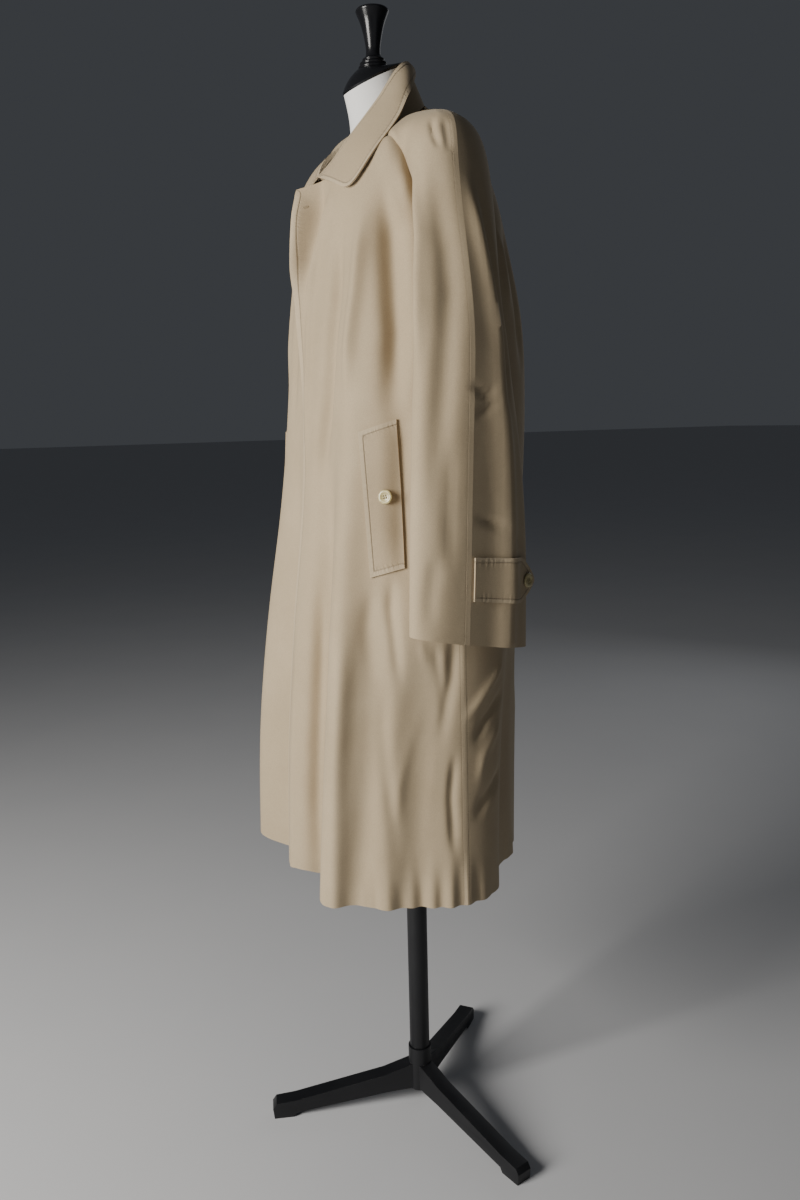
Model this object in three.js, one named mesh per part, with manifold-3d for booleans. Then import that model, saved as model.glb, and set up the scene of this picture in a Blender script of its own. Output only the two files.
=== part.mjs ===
// A single-breasted car coat with raglan sleeves, worn by a limbless dress form on a three-legged stand.
// Millimetres, +Z up. The wearer's left is +X and the front is -Y. The floor is z = 0, and the pole is
// the line x = 0, y = 0 until the last lines, which put the middle of the whole box over the origin.

import * as THREE from "three";
import { mergeVertices } from "three/addons/utils/BufferGeometryUtils.js";
import Module from "manifold-3d";

const wasm = await Module();
wasm.setup();

// Driving dimensions of the cloth
const CLOTH = 2; // wall of cloth with its lining and seam allowances
const SEAM_GAP = 0.3; // between two pieces sewn edge to edge
const LAY_GAP = 0.3; // between a panel and what lies on it
const UNDERLAP_DROP = 4; // how far the right front lies inside the left front where they overlap

// Rings of the coat's body, from the hem to the neckline. zFront, zSide and zBack are the ring's heights,
// halfWidth its reach to each side, front and back its y at the middle, mid the y where it is widest.
// edge is the front edge's angle past the middle, frontSeam and backSeam are the angles where the front
// and the back panels end: at the side seam below the underarm, and at the raglan seams above it.
// power is how square the ring's corners are.
const RINGS = [
  {
    zFront: 446, zSide: 444, zBack: 448, halfWidth: 212, front: -199, back: 130, mid: -22,
    edge: 12.4, frontSeam: 88, backSeam: 88, power: 2.5,
  },
  {
    zFront: 560, zSide: 560, zBack: 560, halfWidth: 211, front: -196, back: 129, mid: -22,
    edge: 13.6, frontSeam: 88, backSeam: 88, power: 2.5,
  },
  {
    zFront: 660, zSide: 660, zBack: 660, halfWidth: 210, front: -190, back: 129, mid: -22,
    edge: 13.6, frontSeam: 88, backSeam: 88, power: 2.5,
  },
  {
    zFront: 750, zSide: 750, zBack: 750, halfWidth: 210, front: -182, back: 131, mid: -22,
    edge: 13, frontSeam: 88, backSeam: 88, power: 2.5,
  },
  {
    zFront: 840, zSide: 840, zBack: 840, halfWidth: 209, front: -174, back: 134, mid: -22,
    edge: 12, frontSeam: 88, backSeam: 88, power: 2.5,
  },
  {
    zFront: 930, zSide: 930, zBack: 930, halfWidth: 207, front: -163, back: 138, mid: -22,
    edge: 10.6, frontSeam: 88.5, backSeam: 88.5, power: 2.5,
  },
  {
    zFront: 1020, zSide: 1020, zBack: 1020, halfWidth: 203, front: -155, back: 142, mid: -22,
    edge: 9.5, frontSeam: 89, backSeam: 89, power: 2.5,
  },
  {
    zFront: 1110, zSide: 1110, zBack: 1110, halfWidth: 197, front: -151, back: 147, mid: -22,
    edge: 9.2, frontSeam: 90, backSeam: 90, power: 2.5,
  },
  {
    zFront: 1190, zSide: 1190, zBack: 1190, halfWidth: 190, front: -148, back: 150, mid: -22,
    edge: 9.4, frontSeam: 91, backSeam: 91, power: 2.5,
  },
  {
    zFront: 1250, zSide: 1250, zBack: 1250, halfWidth: 184, front: -143, back: 145, mid: -22,
    edge: 9.7, frontSeam: 92, backSeam: 92, power: 2.5,
  },
  {
    zFront: 1310, zSide: 1330, zBack: 1320, halfWidth: 168, front: -135, back: 131, mid: -22,
    edge: 9.7, frontSeam: 84, backSeam: 102, power: 2.55,
  },
  {
    zFront: 1360, zSide: 1400, zBack: 1390, halfWidth: 154, front: -127, back: 112, mid: -22,
    edge: 10, frontSeam: 75.5, backSeam: 110, power: 2.7,
  },
  {
    zFront: 1395, zSide: 1445, zBack: 1450, halfWidth: 136, front: -122, back: 88, mid: -24,
    edge: 10, frontSeam: 69.5, backSeam: 118, power: 2.8,
  },
  {
    zFront: 1413, zSide: 1473, zBack: 1499, halfWidth: 102, front: -120, back: 58, mid: -30,
    edge: 11, frontSeam: 67, backSeam: 124, power: 2.65,
  },
  {
    zFront: 1422, zSide: 1489, zBack: 1530, halfWidth: 66, front: -119, back: 28, mid: -38,
    edge: 13, frontSeam: 68, backSeam: 128, power: 2.5,
  },
];
const HEM = RINGS[0].zSide;
const HEM_RISE = 12; // the hem hangs this much higher at the right front
const UNDERARM = 9; // the ring at the underarm
const NECKLINE = RINGS.length - 1;

// Folds that fall from the chest and the shoulder blades. angle and topAngle are where a fold runs at the
// hem and at its upper end, width its half-width in degrees, out its reach at the hem (inwards when
// negative), top and full the heights where it starts and where it has its whole depth.
const FOLDS = [
  {
    name: "recess beside the left front edge",
    angle: 14, topAngle: 27, width: 10.5, out: -50, top: 1230, full: 560,
  },
  {
    name: "ridge of the left front",
    angle: 31, topAngle: 49, width: 9, out: 25, top: 1280, full: 900,
  },
  {
    name: "hollow before the left side seam",
    angle: 66, topAngle: 74, width: 8, out: -7, top: 900, full: 500,
  },
  {
    name: "hollow of the left back",
    angle: 122, topAngle: 128, width: 15, out: -40, top: 1100, full: 520,
  },
  {
    name: "ridge of the left back",
    angle: 163, topAngle: 152, width: 10, out: 20, top: 1250, full: 640,
  },
  {
    name: "hollow of the middle back",
    angle: 184, topAngle: 180, width: 8, out: -8, top: 1150, full: 600,
  },
  {
    name: "ridge of the right back",
    angle: 203, topAngle: 208, width: 9, out: 14, top: 1250, full: 700,
  },
  {
    name: "hollow of the right back",
    angle: 232, topAngle: 232, width: 13, out: -34, top: 1100, full: 520,
  },
  {
    name: "hollow before the right side seam",
    angle: 292, topAngle: 286, width: 9, out: -9, top: 950, full: 520,
  },
  {
    name: "ridge of the right front",
    angle: 321, topAngle: 314, width: 10, out: 36, top: 1250, full: 560,
  },
  {
    name: "recess beside the right front",
    angle: 336, topAngle: 335, width: 7, out: -26, top: 1200, full: 560,
  },
];

// The free edge of the left front stands out from the chest, as an unbuttoned top does
const FLARE = { hinge: 1, out: 30, start: 1110, full: 1400, droop: 11 };

// The top seam of the left sleeve from the neck to the underarm's level, with the pulls that shape each
// row of cloth: out of the top seam (topPull) and out of the raglan seam (seamPull), front and back.
const SHOULDER_ROWS = [
  { top: [66, -36, 1489] },
  {
    top: [108, -30, 1490],
    front: { topPull: [-3, -16, 0], seamPull: [10, -1, 5] },
    back: { topPull: [-3, 14, 0], seamPull: [9, -5, 4] },
  },
  {
    top: [155, -27, 1482],
    front: { topPull: [-3, -23, 0], seamPull: [18, -5, 8] },
    back: { topPull: [-3, 20, 0], seamPull: [16, 0, 8] },
  },
  {
    top: [201, -30, 1469],
    front: { topPull: [0, -32, -2], seamPull: [34, -12, 11] },
    back: { topPull: [0, 28, -2], seamPull: [32, 6, 12] },
  },
  {
    top: [217, -34, 1444],
    front: { topPull: [2, -38, -4], seamPull: [42, -20, 7] },
    back: { topPull: [2, 32, -4], seamPull: [38, 12, 8] },
  },
  {
    top: [230, -40, 1405],
    front: { topPull: [2, -44, -5], seamPull: [44, -36, 2] },
    back: { topPull: [2, 38, -5], seamPull: [40, 22, 2] },
  },
  {
    top: [243, -44, 1355],
    front: { topPull: [2, -52, -4], seamPull: [34, -62, -4] },
    back: { topPull: [2, 50, -4], seamPull: [34, 36, -4] },
  },
  {
    top: [256, -44, 1300],
    front: { topPull: [0, -68, -2], seamPull: [15, -88, -6] },
    back: { topPull: [0, 58, -2], seamPull: [15, 52, -6] },
  },
  {
    top: [265, -43, 1247],
    front: { topPull: [0, -88, 0], seamPull: [4, -110, -8] },
    back: { topPull: [0, 66, 0], seamPull: [4, 66, -8] },
  },
];

// Sections of the left sleeve below the underarm, down to the cuff. inner and outer are its x at the
// underarm seam and at the top seam, topY and underY those seams' y, front and back its reach in y.
// tilt is how far a section rises for each millimetre forward of its top seam.
const SLEEVE_SECTIONS = [
  { z: 1200, inner: 192.5, outer: 271, topY: -43, underY: -26, front: -105, back: 25, tilt: 0 },
  { z: 1150, inner: 197.5, outer: 277, topY: -48, underY: -28, front: -111, back: 27, tilt: 0 },
  { z: 1095, inner: 202, outer: 282, topY: -53, underY: -30, front: -117, back: 34, tilt: 0 },
  { z: 1040, inner: 206, outer: 285, topY: -57, underY: -30, front: -121, back: 39, tilt: 0.02 },
  { z: 985, inner: 209.5, outer: 287, topY: -60, underY: -30, front: -125, back: 42, tilt: 0.05 },
  { z: 930, inner: 212, outer: 288, topY: -62, underY: -30, front: -128, back: 43, tilt: 0.1 },
  { z: 880, inner: 214, outer: 288, topY: -64, underY: -30, front: -130, back: 42, tilt: 0.15 },
  { z: 829, inner: 216, outer: 288, topY: -66, underY: -30, front: -132, back: 41, tilt: 0.19 },
];
const RIGHT_SWING = 38; // the right sleeve hangs this much further back than the left one

// The collar from the left front end to the nape. angle is where it is sewn to the neckline ring, roll is
// the top of its fold and edge its free edge.
const COLLAR_LEFT = [
  { angle: 2.5, rollX: 3, rollY: -123, rollZ: 1430, edgeX: 76, edgeY: -123, edgeZ: 1399 },
  { angle: 15, rollX: 22, rollY: -113, rollZ: 1444, edgeX: 98, edgeY: -119, edgeZ: 1399 },
  { angle: 34, rollX: 41, rollY: -98, rollZ: 1469, edgeX: 117, edgeY: -99, edgeZ: 1434 },
  { angle: 55, rollX: 55, rollY: -79, rollZ: 1495, edgeX: 118, edgeY: -75, edgeZ: 1462 },
  { angle: 76, rollX: 61, rollY: -59, rollZ: 1521, edgeX: 114, edgeY: -56, edgeZ: 1485 },
  { angle: 96, rollX: 60, rollY: -41, rollZ: 1547, edgeX: 104, edgeY: -42, edgeZ: 1506 },
  { angle: 114, rollX: 55, rollY: -24, rollZ: 1565, edgeX: 84, edgeY: -22, edgeZ: 1528 },
  { angle: 134, rollX: 43, rollY: -8, rollZ: 1573, edgeX: 57, edgeY: -4, edgeZ: 1549 },
  { angle: 156, rollX: 24, rollY: 5, rollZ: 1578, edgeX: 29, edgeY: 12, edgeZ: 1560 },
  { angle: 180, rollX: 0, rollY: 11, rollZ: 1585, edgeX: 0, edgeY: 22, edgeZ: 1562 },
];
// The right half lies lower and further back; x is to the wearer's right here.
const COLLAR_RIGHT = [
  { angle: 2.5, rollX: 3, rollY: -122, rollZ: 1430, edgeX: 76, edgeY: -124, edgeZ: 1400 },
  { angle: 15, rollX: 22, rollY: -111, rollZ: 1445, edgeX: 96, edgeY: -121, edgeZ: 1406 },
  { angle: 34, rollX: 42, rollY: -93, rollZ: 1465, edgeX: 110, edgeY: -97, edgeZ: 1445 },
  { angle: 55, rollX: 55, rollY: -71, rollZ: 1480, edgeX: 112, edgeY: -71, edgeZ: 1465 },
  { angle: 76, rollX: 61, rollY: -49, rollZ: 1502, edgeX: 107, edgeY: -54, edgeZ: 1495 },
  { angle: 96, rollX: 60, rollY: -32, rollZ: 1515, edgeX: 99, edgeY: -35, edgeZ: 1507 },
  { angle: 114, rollX: 55, rollY: -18, rollZ: 1533, edgeX: 86, edgeY: -18, edgeZ: 1507 },
  { angle: 134, rollX: 43, rollY: -5, rollZ: 1554, edgeX: 59, edgeY: -1, edgeZ: 1531 },
  { angle: 156, rollX: 24, rollY: 5, rollZ: 1572, edgeX: 30, edgeY: 13, edgeZ: 1551 },
  { angle: 180, rollX: 0, rollY: 11, rollZ: 1585, edgeX: 0, edgeY: 22, edgeZ: 1562 },
];
const COLLAR_FOLD = 4; // outer radius of the fold at the collar's top
const COLLAR_BELLY = 3; // how far the fall bows out between its fold and its edge
const COLLAR_STATIONS = 16; // on each half

// The pocket welts: the angle of each corner and its height
const WELT = {
  thickness: 2.6,
  front: { topAngle: 49.7, bottomAngle: 53.8, top: 1089, bottom: 902 },
  rear: { topAngle: 65.1, bottomAngle: 66.9, top: 1105, bottom: 915 },
  buttonAngle: 60.6,
  buttonHeight: 1006,
};

// The cuff tabs: rows of the sleeve that they lie between, and how far they run from the top seam
const TAB = {
  thickness: 2.6,
  topRow: 13.87,
  bottomRow: 14.93,
  start: 2,
  bend: 78,
  shoulder: 84,
  tip: 112,
  button: 94,
};

// Buttons with a raised rim, a dished middle and four holes
const BUTTON = { radius: 9.5, thickness: 3.4, hole: 1, holeSpread: 2.2 };
const NECK_BUTTON = { angle: -6.5, height: 1392 };

// The dress form: rings in the same terms as the coat's, from the flat bottom to the slanted neck top.
// The three rings over the shoulders lie just under the coat's top seam, SHOULDER_GAP below its wall.
const SHOULDER_GAP = 0.6;
const FORM = [
  { zFront: 800, zSide: 800, zBack: 800, halfWidth: 148, front: -118, back: 88, mid: -12 },
  { zFront: 850, zSide: 850, zBack: 850, halfWidth: 156, front: -122, back: 96, mid: -12 },
  { zFront: 930, zSide: 930, zBack: 930, halfWidth: 146, front: -112, back: 90, mid: -14 },
  { zFront: 1020, zSide: 1020, zBack: 1020, halfWidth: 130, front: -102, back: 80, mid: -14 },
  { zFront: 1110, zSide: 1110, zBack: 1110, halfWidth: 138, front: -108, back: 88, mid: -16 },
  { zFront: 1200, zSide: 1200, zBack: 1200, halfWidth: 152, front: -116, back: 98, mid: -20 },
  { zFront: 1280, zSide: 1290, zBack: 1285, halfWidth: 157, front: -112, back: 98, mid: -24 },
  { zFront: 1345, zSide: 1375, zBack: 1365, halfWidth: 160, front: -92, back: 84, mid: -28 },
  { zFront: 1385, zSide: 1432, zBack: 1425, halfWidth: 164, front: -78, back: 66, mid: -28 },
  { zFront: 1405, zSide: 1462, zBack: 1462, halfWidth: 162, front: -74, back: 52, mid: -28 },
];
const FORM_NECK = [
  { zFront: 1452, zSide: 1498, zBack: 1520, halfWidth: 53, front: -74, back: 10, mid: -34 },
  { zFront: 1478, zSide: 1517, zBack: 1547, halfWidth: 47, front: -68, back: 6, mid: -32 },
  { zFront: 1512, zSide: 1538, zBack: 1563, halfWidth: 44, front: -72, back: 4, mid: -34 },
  { zFront: 1537, zSide: 1557, zBack: 1577, halfWidth: 43, front: -79, back: 4, mid: -37.5 },
];
const FORM_SQUARENESS = 2;

// The neck cap: rings that turn from the slant of the neck's top to a level seat for the finial
const CAP_RINGS = [
  { radius: 42, height: 0, level: 0 },
  { radius: 43.5, height: 3, level: 0 },
  { radius: 41.5, height: 6, level: 0.1 },
  { radius: 35, height: 10, level: 0.45 },
  { radius: 25, height: 12.5, level: 0.85 },
  { radius: 22, height: 13, level: 1 },
];
// The turned finial: radius at each height above its seat
const FINIAL = [
  { radius: 20, height: 0 },
  { radius: 20.5, height: 3 },
  { radius: 18, height: 5.5 },
  { radius: 18.5, height: 8 },
  { radius: 14.5, height: 10.5 },
  { radius: 15, height: 13 },
  { radius: 11, height: 16 },
  { radius: 9.8, height: 22 },
  { radius: 10.2, height: 30 },
  { radius: 12.5, height: 43 },
  { radius: 16.5, height: 58 },
  { radius: 21, height: 69 },
  { radius: 22.5, height: 73 },
  { radius: 21, height: 75.5 },
];

// The stand: a pole on a cast foot with three tapered legs
const POLE_RADIUS = 15.8;
const HUB = { radius: 18.5, bottom: 26, top: 98 };
const LEG_ANGLES = [251, 11, 131];
const LEG_PROFILE = [
  { out: 0, z: 30 },
  { out: 60, z: 25 },
  { out: 203, z: 7 },
  { out: 208, z: 0 },
  { out: 240, z: 0 },
  { out: 242, z: 17 },
  { out: 236, z: 25 },
  { out: 205, z: 28 },
  { out: 60, z: 56 },
  { out: 17, z: 70 },
  { out: 0, z: 70 },
];
const LEG_WIDTH = 25;

// Colours and finishes
const gabardine = new THREE.MeshStandardMaterial({ color: 0xa89472, roughness: 0.85, metalness: 0 });
const horn = new THREE.MeshStandardMaterial({ color: 0xb5a86a, roughness: 0.35, metalness: 0 });
const formCloth = new THREE.MeshStandardMaterial({ color: 0xcfcac0, roughness: 0.9, metalness: 0 });
const lacquer = new THREE.MeshStandardMaterial({ color: 0x101011, roughness: 0.18, metalness: 0 });
const blackIron = new THREE.MeshStandardMaterial({ color: 0x17181a, roughness: 0.5, metalness: 0.6 });

const radians = THREE.MathUtils.degToRad;
const vector = (x, y, z) => new THREE.Vector3(x, y, z);
const mix = THREE.MathUtils.lerp;
const ramp = THREE.MathUtils.smoothstep;

// A row of a table between its rows, on a smooth curve through them
function rowAt(table, place) {
  const low = Math.min(Math.floor(place), table.length - 2);
  const t = place - low;
  const pick = (index, key) => table[THREE.MathUtils.clamp(index, 0, table.length - 1)][key];
  const row = {};
  for (const key of Object.keys(table[0])) {
    const [a, b, c, d] = [low - 1, low, low + 1, low + 2].map((index) => pick(index, key));
    row[key] = b + 0.5 * t * (c - a + t * (2 * a - 5 * b + 4 * c - d + t * (3 * (b - c) + d - a)));
  }
  return row;
}

// The angle of a seam or of the front edge on a ring, straight from one table row to the next
function angleAt(key, place) {
  const low = Math.min(Math.floor(place), RINGS.length - 2);
  return mix(RINGS[low][key], RINGS[low + 1][key], place - low);
}

// The outer face of the coat's body at a ring and an angle, 0 at the front and 90 at the wearer's left.
// standsOut is 1 on the free edge of the left front, and drop is how far the cloth lies inside.
function bodyPoint(place, angle, standsOut = 0, drop = 0) {
  const ring = rowAt(RINGS, place);
  const turn = radians(angle);
  const sine = Math.sin(turn);
  const cosine = Math.cos(turn);
  const depth = cosine > 0 ? ring.mid - ring.front : ring.back - ring.mid;
  const across = Math.pow(Math.abs(sine) / ring.halfWidth, ring.power);
  const along = Math.pow(Math.abs(cosine) / depth, ring.power);
  const endHeight = cosine > 0 ? ring.zFront : ring.zBack;
  let z = mix(ring.zSide, endHeight, Math.pow(Math.abs(cosine), 1.5));
  let reach = Math.pow(across + along, -1 / ring.power) - drop;
  for (const fold of FOLDS) {
    const grown = ramp(fold.top - z, 0, fold.top - fold.full);
    const middle = mix(fold.angle, fold.topAngle, (z - HEM) / (fold.top - HEM));
    const away = ((angle - middle + 540) % 360) - 180;
    reach += fold.out * grown * Math.exp(-Math.pow(away / fold.width, 2));
  }
  const lift = standsOut * ramp(z, FLARE.start, FLARE.full);
  reach += FLARE.out * lift;
  z -= FLARE.droop * standsOut * ramp(place, UNDERARM, NECKLINE);
  z += HEM_RISE * Math.max(1 - place, 0) * ramp(angle > 180 ? 360 - angle : -angle, 12, 45);
  return vector(reach * sine, ring.mid - reach * cosine, z);
}

// How far the left front's cloth stands out at an angle: 0 at the hinge, 1 at the free edge
function edgeLift(angle, edge) {
  return Math.pow(THREE.MathUtils.clamp((FLARE.hinge - angle) / (FLARE.hinge + edge), 0, 1), 1.3);
}

// The right front lies inside the left one where they overlap, and comes out to the side of it
function underlap(angle) {
  return UNDERLAP_DROP * ramp(angle, -32, -15);
}

// A piece of cloth: a grid of points on its outer face, each with its normal
function panel(points) {
  const rows = points.length;
  const columns = points[0].length;
  const normals = points.map((line, r) =>
    line.map((point, c) => {
      const along = line[Math.min(c + 1, columns - 1)].clone().sub(line[Math.max(c - 1, 0)]);
      const up = points[Math.min(r + 1, rows - 1)][c].clone().sub(points[Math.max(r - 1, 0)][c]);
      return along.cross(up).normalize();
    }),
  );
  return { points, normals };
}

// Two pieces sewn along an edge share their normals there, so that their inner faces meet too. Where
// they meet in a valley sharper than the limit, each keeps its own and the valley stays open inside.
function sew(first, firstEdge, second, secondEdge, sharpest = 0) {
  firstEdge.forEach(([r, c], index) => {
    const [r2, c2] = secondEdge[index];
    const one = first.normals[r][c];
    const two = second.normals[r2][c2];
    if (one.dot(two) > sharpest) {
      const shared = one.clone().add(two).normalize();
      one.copy(shared);
      two.copy(shared);
    }
  });
}

const VALLEY = 0.85; // cosine of the sharpest valley whose two sides share their normals
const lastRow = (piece) => piece.points.length - 1;
const lastColumn = (piece) => piece.points[0].length - 1;
const columnEdge = (piece, c, from, to) => {
  const edge = [];
  for (let r = from; r <= to; r += 1) {
    edge.push([r, c]);
  }
  return edge;
};

// The wall of a piece: its outer face, its inner face and the four strips that close them
function clothGeometry(piece, thickness = CLOTH) {
  const { points, normals } = piece;
  const rows = points.length;
  const columns = points[0].length;
  const outer = points.map((line) => line.map((point) => point.clone()));
  const trim = (r, c, r2, c2) => {
    outer[r][c].add(points[r2][c2].clone().sub(points[r][c]).setLength(SEAM_GAP / 2));
  };
  for (let r = 0; r < rows; r += 1) {
    trim(r, 0, r, 1);
    trim(r, columns - 1, r, columns - 2);
  }
  for (let c = 0; c < columns; c += 1) {
    trim(0, c, 1, c);
    trim(rows - 1, c, rows - 2, c);
  }
  const positions = [];
  for (const depth of [0, thickness]) {
    outer.forEach((line, r) =>
      line.forEach((point, c) => {
        positions.push(...point.clone().addScaledVector(normals[r][c], -depth).toArray());
      }),
    );
  }
  const index = [];
  const at = (side, r, c) => side * rows * columns + r * columns + c;
  const quad = (a, b, c, d) => index.push(a, b, c, a, c, d);
  for (let r = 0; r < rows - 1; r += 1) {
    for (let c = 0; c < columns - 1; c += 1) {
      quad(at(0, r, c), at(0, r, c + 1), at(0, r + 1, c + 1), at(0, r + 1, c));
      quad(at(1, r, c), at(1, r + 1, c), at(1, r + 1, c + 1), at(1, r, c + 1));
    }
    const end = columns - 1;
    quad(at(0, r, 0), at(0, r + 1, 0), at(1, r + 1, 0), at(1, r, 0));
    quad(at(0, r, end), at(1, r, end), at(1, r + 1, end), at(0, r + 1, end));
  }
  for (let c = 0; c < columns - 1; c += 1) {
    const top = rows - 1;
    quad(at(0, 0, c), at(1, 0, c), at(1, 0, c + 1), at(0, 0, c + 1));
    quad(at(0, top, c), at(0, top, c + 1), at(1, top, c + 1), at(1, top, c));
  }
  const geometry = new THREE.BufferGeometry();
  geometry.setAttribute("position", new THREE.Float32BufferAttribute(positions, 3));
  geometry.setIndex(index);
  geometry.computeVertexNormals();
  return geometry;
}

// The same geometry on the other side of the coat
function mirrored(geometry) {
  const other = geometry.clone().scale(-1, 1, 1);
  const index = Array.from(other.getIndex().array);
  for (let i = 0; i < index.length; i += 3) {
    [index[i], index[i + 1]] = [index[i + 1], index[i]];
  }
  other.setIndex(index);
  other.computeVertexNormals();
  return other;
}

const coat = new THREE.Group();
const stand = new THREE.Group();
function place(group, name, geometry, material) {
  const mesh = new THREE.Mesh(geometry, material);
  mesh.name = name;
  group.add(mesh);
  return mesh;
}

// The grid rows of the body: coarse below the underarm, finer over the shoulders
const LOWER_ROWS = 11;
const UPPER_ROWS = SHOULDER_ROWS.length - 1;
const bodyRows = [];
for (let r = 0; r < LOWER_ROWS; r += 1) {
  bodyRows.push((UNDERARM * r) / LOWER_ROWS);
}
for (let r = 0; r <= UPPER_ROWS; r += 1) {
  bodyRows.push(mix(UNDERARM, NECKLINE, r / UPPER_ROWS));
}
const FRONT_COLUMNS = 27;
const BACK_COLUMNS = 36;

// One of the body's panels, from the angle it starts at to the angle it ends at on each ring
function bodyPanel(columns, startAngle, endAngle, pointAt) {
  return panel(
    bodyRows.map((row) => {
      const line = [];
      for (let c = 0; c <= columns; c += 1) {
        line.push(pointAt(row, mix(startAngle(row), endAngle(row), c / columns)));
      }
      return line;
    }),
  );
}

const edgeAngle = (row) => angleAt("edge", row);
const frontSeam = (row) => angleAt("frontSeam", row);
const backSeam = (row) => angleAt("backSeam", row);
const leftPoint = (row, angle) => bodyPoint(row, angle, edgeLift(angle, edgeAngle(row)));
const rightPoint = (row, angle) => bodyPoint(row, angle, 0, underlap(angle));
const backPoint = (row, angle) => bodyPoint(row, angle);

const frontLeft = bodyPanel(FRONT_COLUMNS, (row) => -edgeAngle(row), frontSeam, leftPoint);
const frontRight = bodyPanel(FRONT_COLUMNS, (row) => -frontSeam(row), edgeAngle, rightPoint);
const back = bodyPanel(BACK_COLUMNS, backSeam, (row) => 360 - backSeam(row), backPoint);
const sideSeam = (piece, c) => columnEdge(piece, c, 0, LOWER_ROWS);
sew(frontLeft, sideSeam(frontLeft, lastColumn(frontLeft)), back, sideSeam(back, 0));
sew(frontRight, sideSeam(frontRight, 0), back, sideSeam(back, lastColumn(back)));

// The left sleeve: a front and a back piece, each row one curve from the top seam to the raglan seam
// above the underarm, and to the underarm seam below it
const SLEEVE_COLUMNS = 9;
const TOP_ANGLE = 95; // where the top seam meets the neckline
const curvePoint = (start, startPull, end, endPull, t) => {
  const afterStart = start.clone().add(startPull);
  const beforeEnd = end.clone().add(endPull);
  return new THREE.CubicBezierCurve3(start, afterStart, beforeEnd, end).getPoint(t);
};

function sleevePanel(side, swing) {
  const isFront = side === "front";
  const rows = [];
  SHOULDER_ROWS.forEach((row, r) => {
    const bodyRow = mix(NECKLINE, UNDERARM, r / UPPER_ROWS);
    const seamAngle = isFront ? frontSeam(bodyRow) : backSeam(bodyRow);
    const seam = bodyPoint(bodyRow, seamAngle);
    const lowSeam = ramp(r, UPPER_ROWS - 4, UPPER_ROWS - 1);
    seam.x += 2 * SEAM_GAP * lowSeam;
    const top = vector(...row.top);
    top.y += swing * ramp(r, 3, UPPER_ROWS);
    const line = [];
    for (let c = 0; c <= SLEEVE_COLUMNS; c += 1) {
      const t = c / SLEEVE_COLUMNS;
      if (r === 0) {
        line.push(bodyPoint(NECKLINE, mix(TOP_ANGLE, seamAngle, t)));
      } else {
        const pulls = row[side];
        const seamPull = vector(...pulls.seamPull);
        seamPull.y += swing * ramp(r, 3, UPPER_ROWS);
        line.push(curvePoint(top, vector(...pulls.topPull), seam, seamPull, t));
      }
    }
    rows.push(line);
  });
  for (const section of SLEEVE_SECTIONS) {
    const top = vector(section.outer, section.topY + swing, section.z);
    const underSwing = swing * ramp(SLEEVE_SECTIONS[0].z + 50 - section.z, 0, 150);
    const under = vector(section.inner, section.underY + underSwing, section.z);
    const bulge = (section[side] + swing - (top.y + under.y) / 2) * (8 / 3);
    const pull = vector(0, bulge / 2, 0);
    const line = [];
    for (let c = 0; c <= SLEEVE_COLUMNS; c += 1) {
      const point = curvePoint(top, pull, under, pull, c / SLEEVE_COLUMNS);
      point.z -= section.tilt * (point.y - top.y);
      line.push(point);
    }
    rows.push(line);
  }
  return panel(isFront ? rows : rows.map((line) => line.slice().reverse()));
}

// Both pieces of a sleeve, made on the left side and sewn to the left half of the body
function sleeve(swing) {
  const front = sleevePanel("front", swing);
  const rear = sleevePanel("back", swing);
  const cuff = lastRow(front);
  sew(front, columnEdge(front, 0, 0, cuff), rear, columnEdge(rear, SLEEVE_COLUMNS, 0, cuff));
  const underarm = (piece, c) => columnEdge(piece, c, UPPER_ROWS, cuff);
  sew(front, underarm(front, SLEEVE_COLUMNS), rear, underarm(rear, 0));
  const raglan = (piece, c) => columnEdge(piece, c, 0, UPPER_ROWS - 1);
  const bodySide = (piece, c) => columnEdge(piece, c, LOWER_ROWS, lastRow(piece)).reverse();
  sew(front, raglan(front, SLEEVE_COLUMNS), frontLeft, bodySide(frontLeft, lastColumn(frontLeft)), VALLEY);
  sew(rear, raglan(rear, 0), back, bodySide(back, 0), VALLEY);
  return { front, rear };
}
const leftSleeve = sleeve(0);
const rightSleeve = sleeve(RIGHT_SWING);

place(coat, "front_left", clothGeometry(frontLeft), gabardine);
place(coat, "front_right", clothGeometry(frontRight), gabardine);
place(coat, "back", clothGeometry(back), gabardine);
place(coat, "sleeve_left_front", clothGeometry(leftSleeve.front), gabardine);
place(coat, "sleeve_left_back", clothGeometry(leftSleeve.rear), gabardine);
place(coat, "sleeve_right_front", mirrored(clothGeometry(rightSleeve.front)), gabardine);
place(coat, "sleeve_right_back", mirrored(clothGeometry(rightSleeve.rear)), gabardine);

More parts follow.
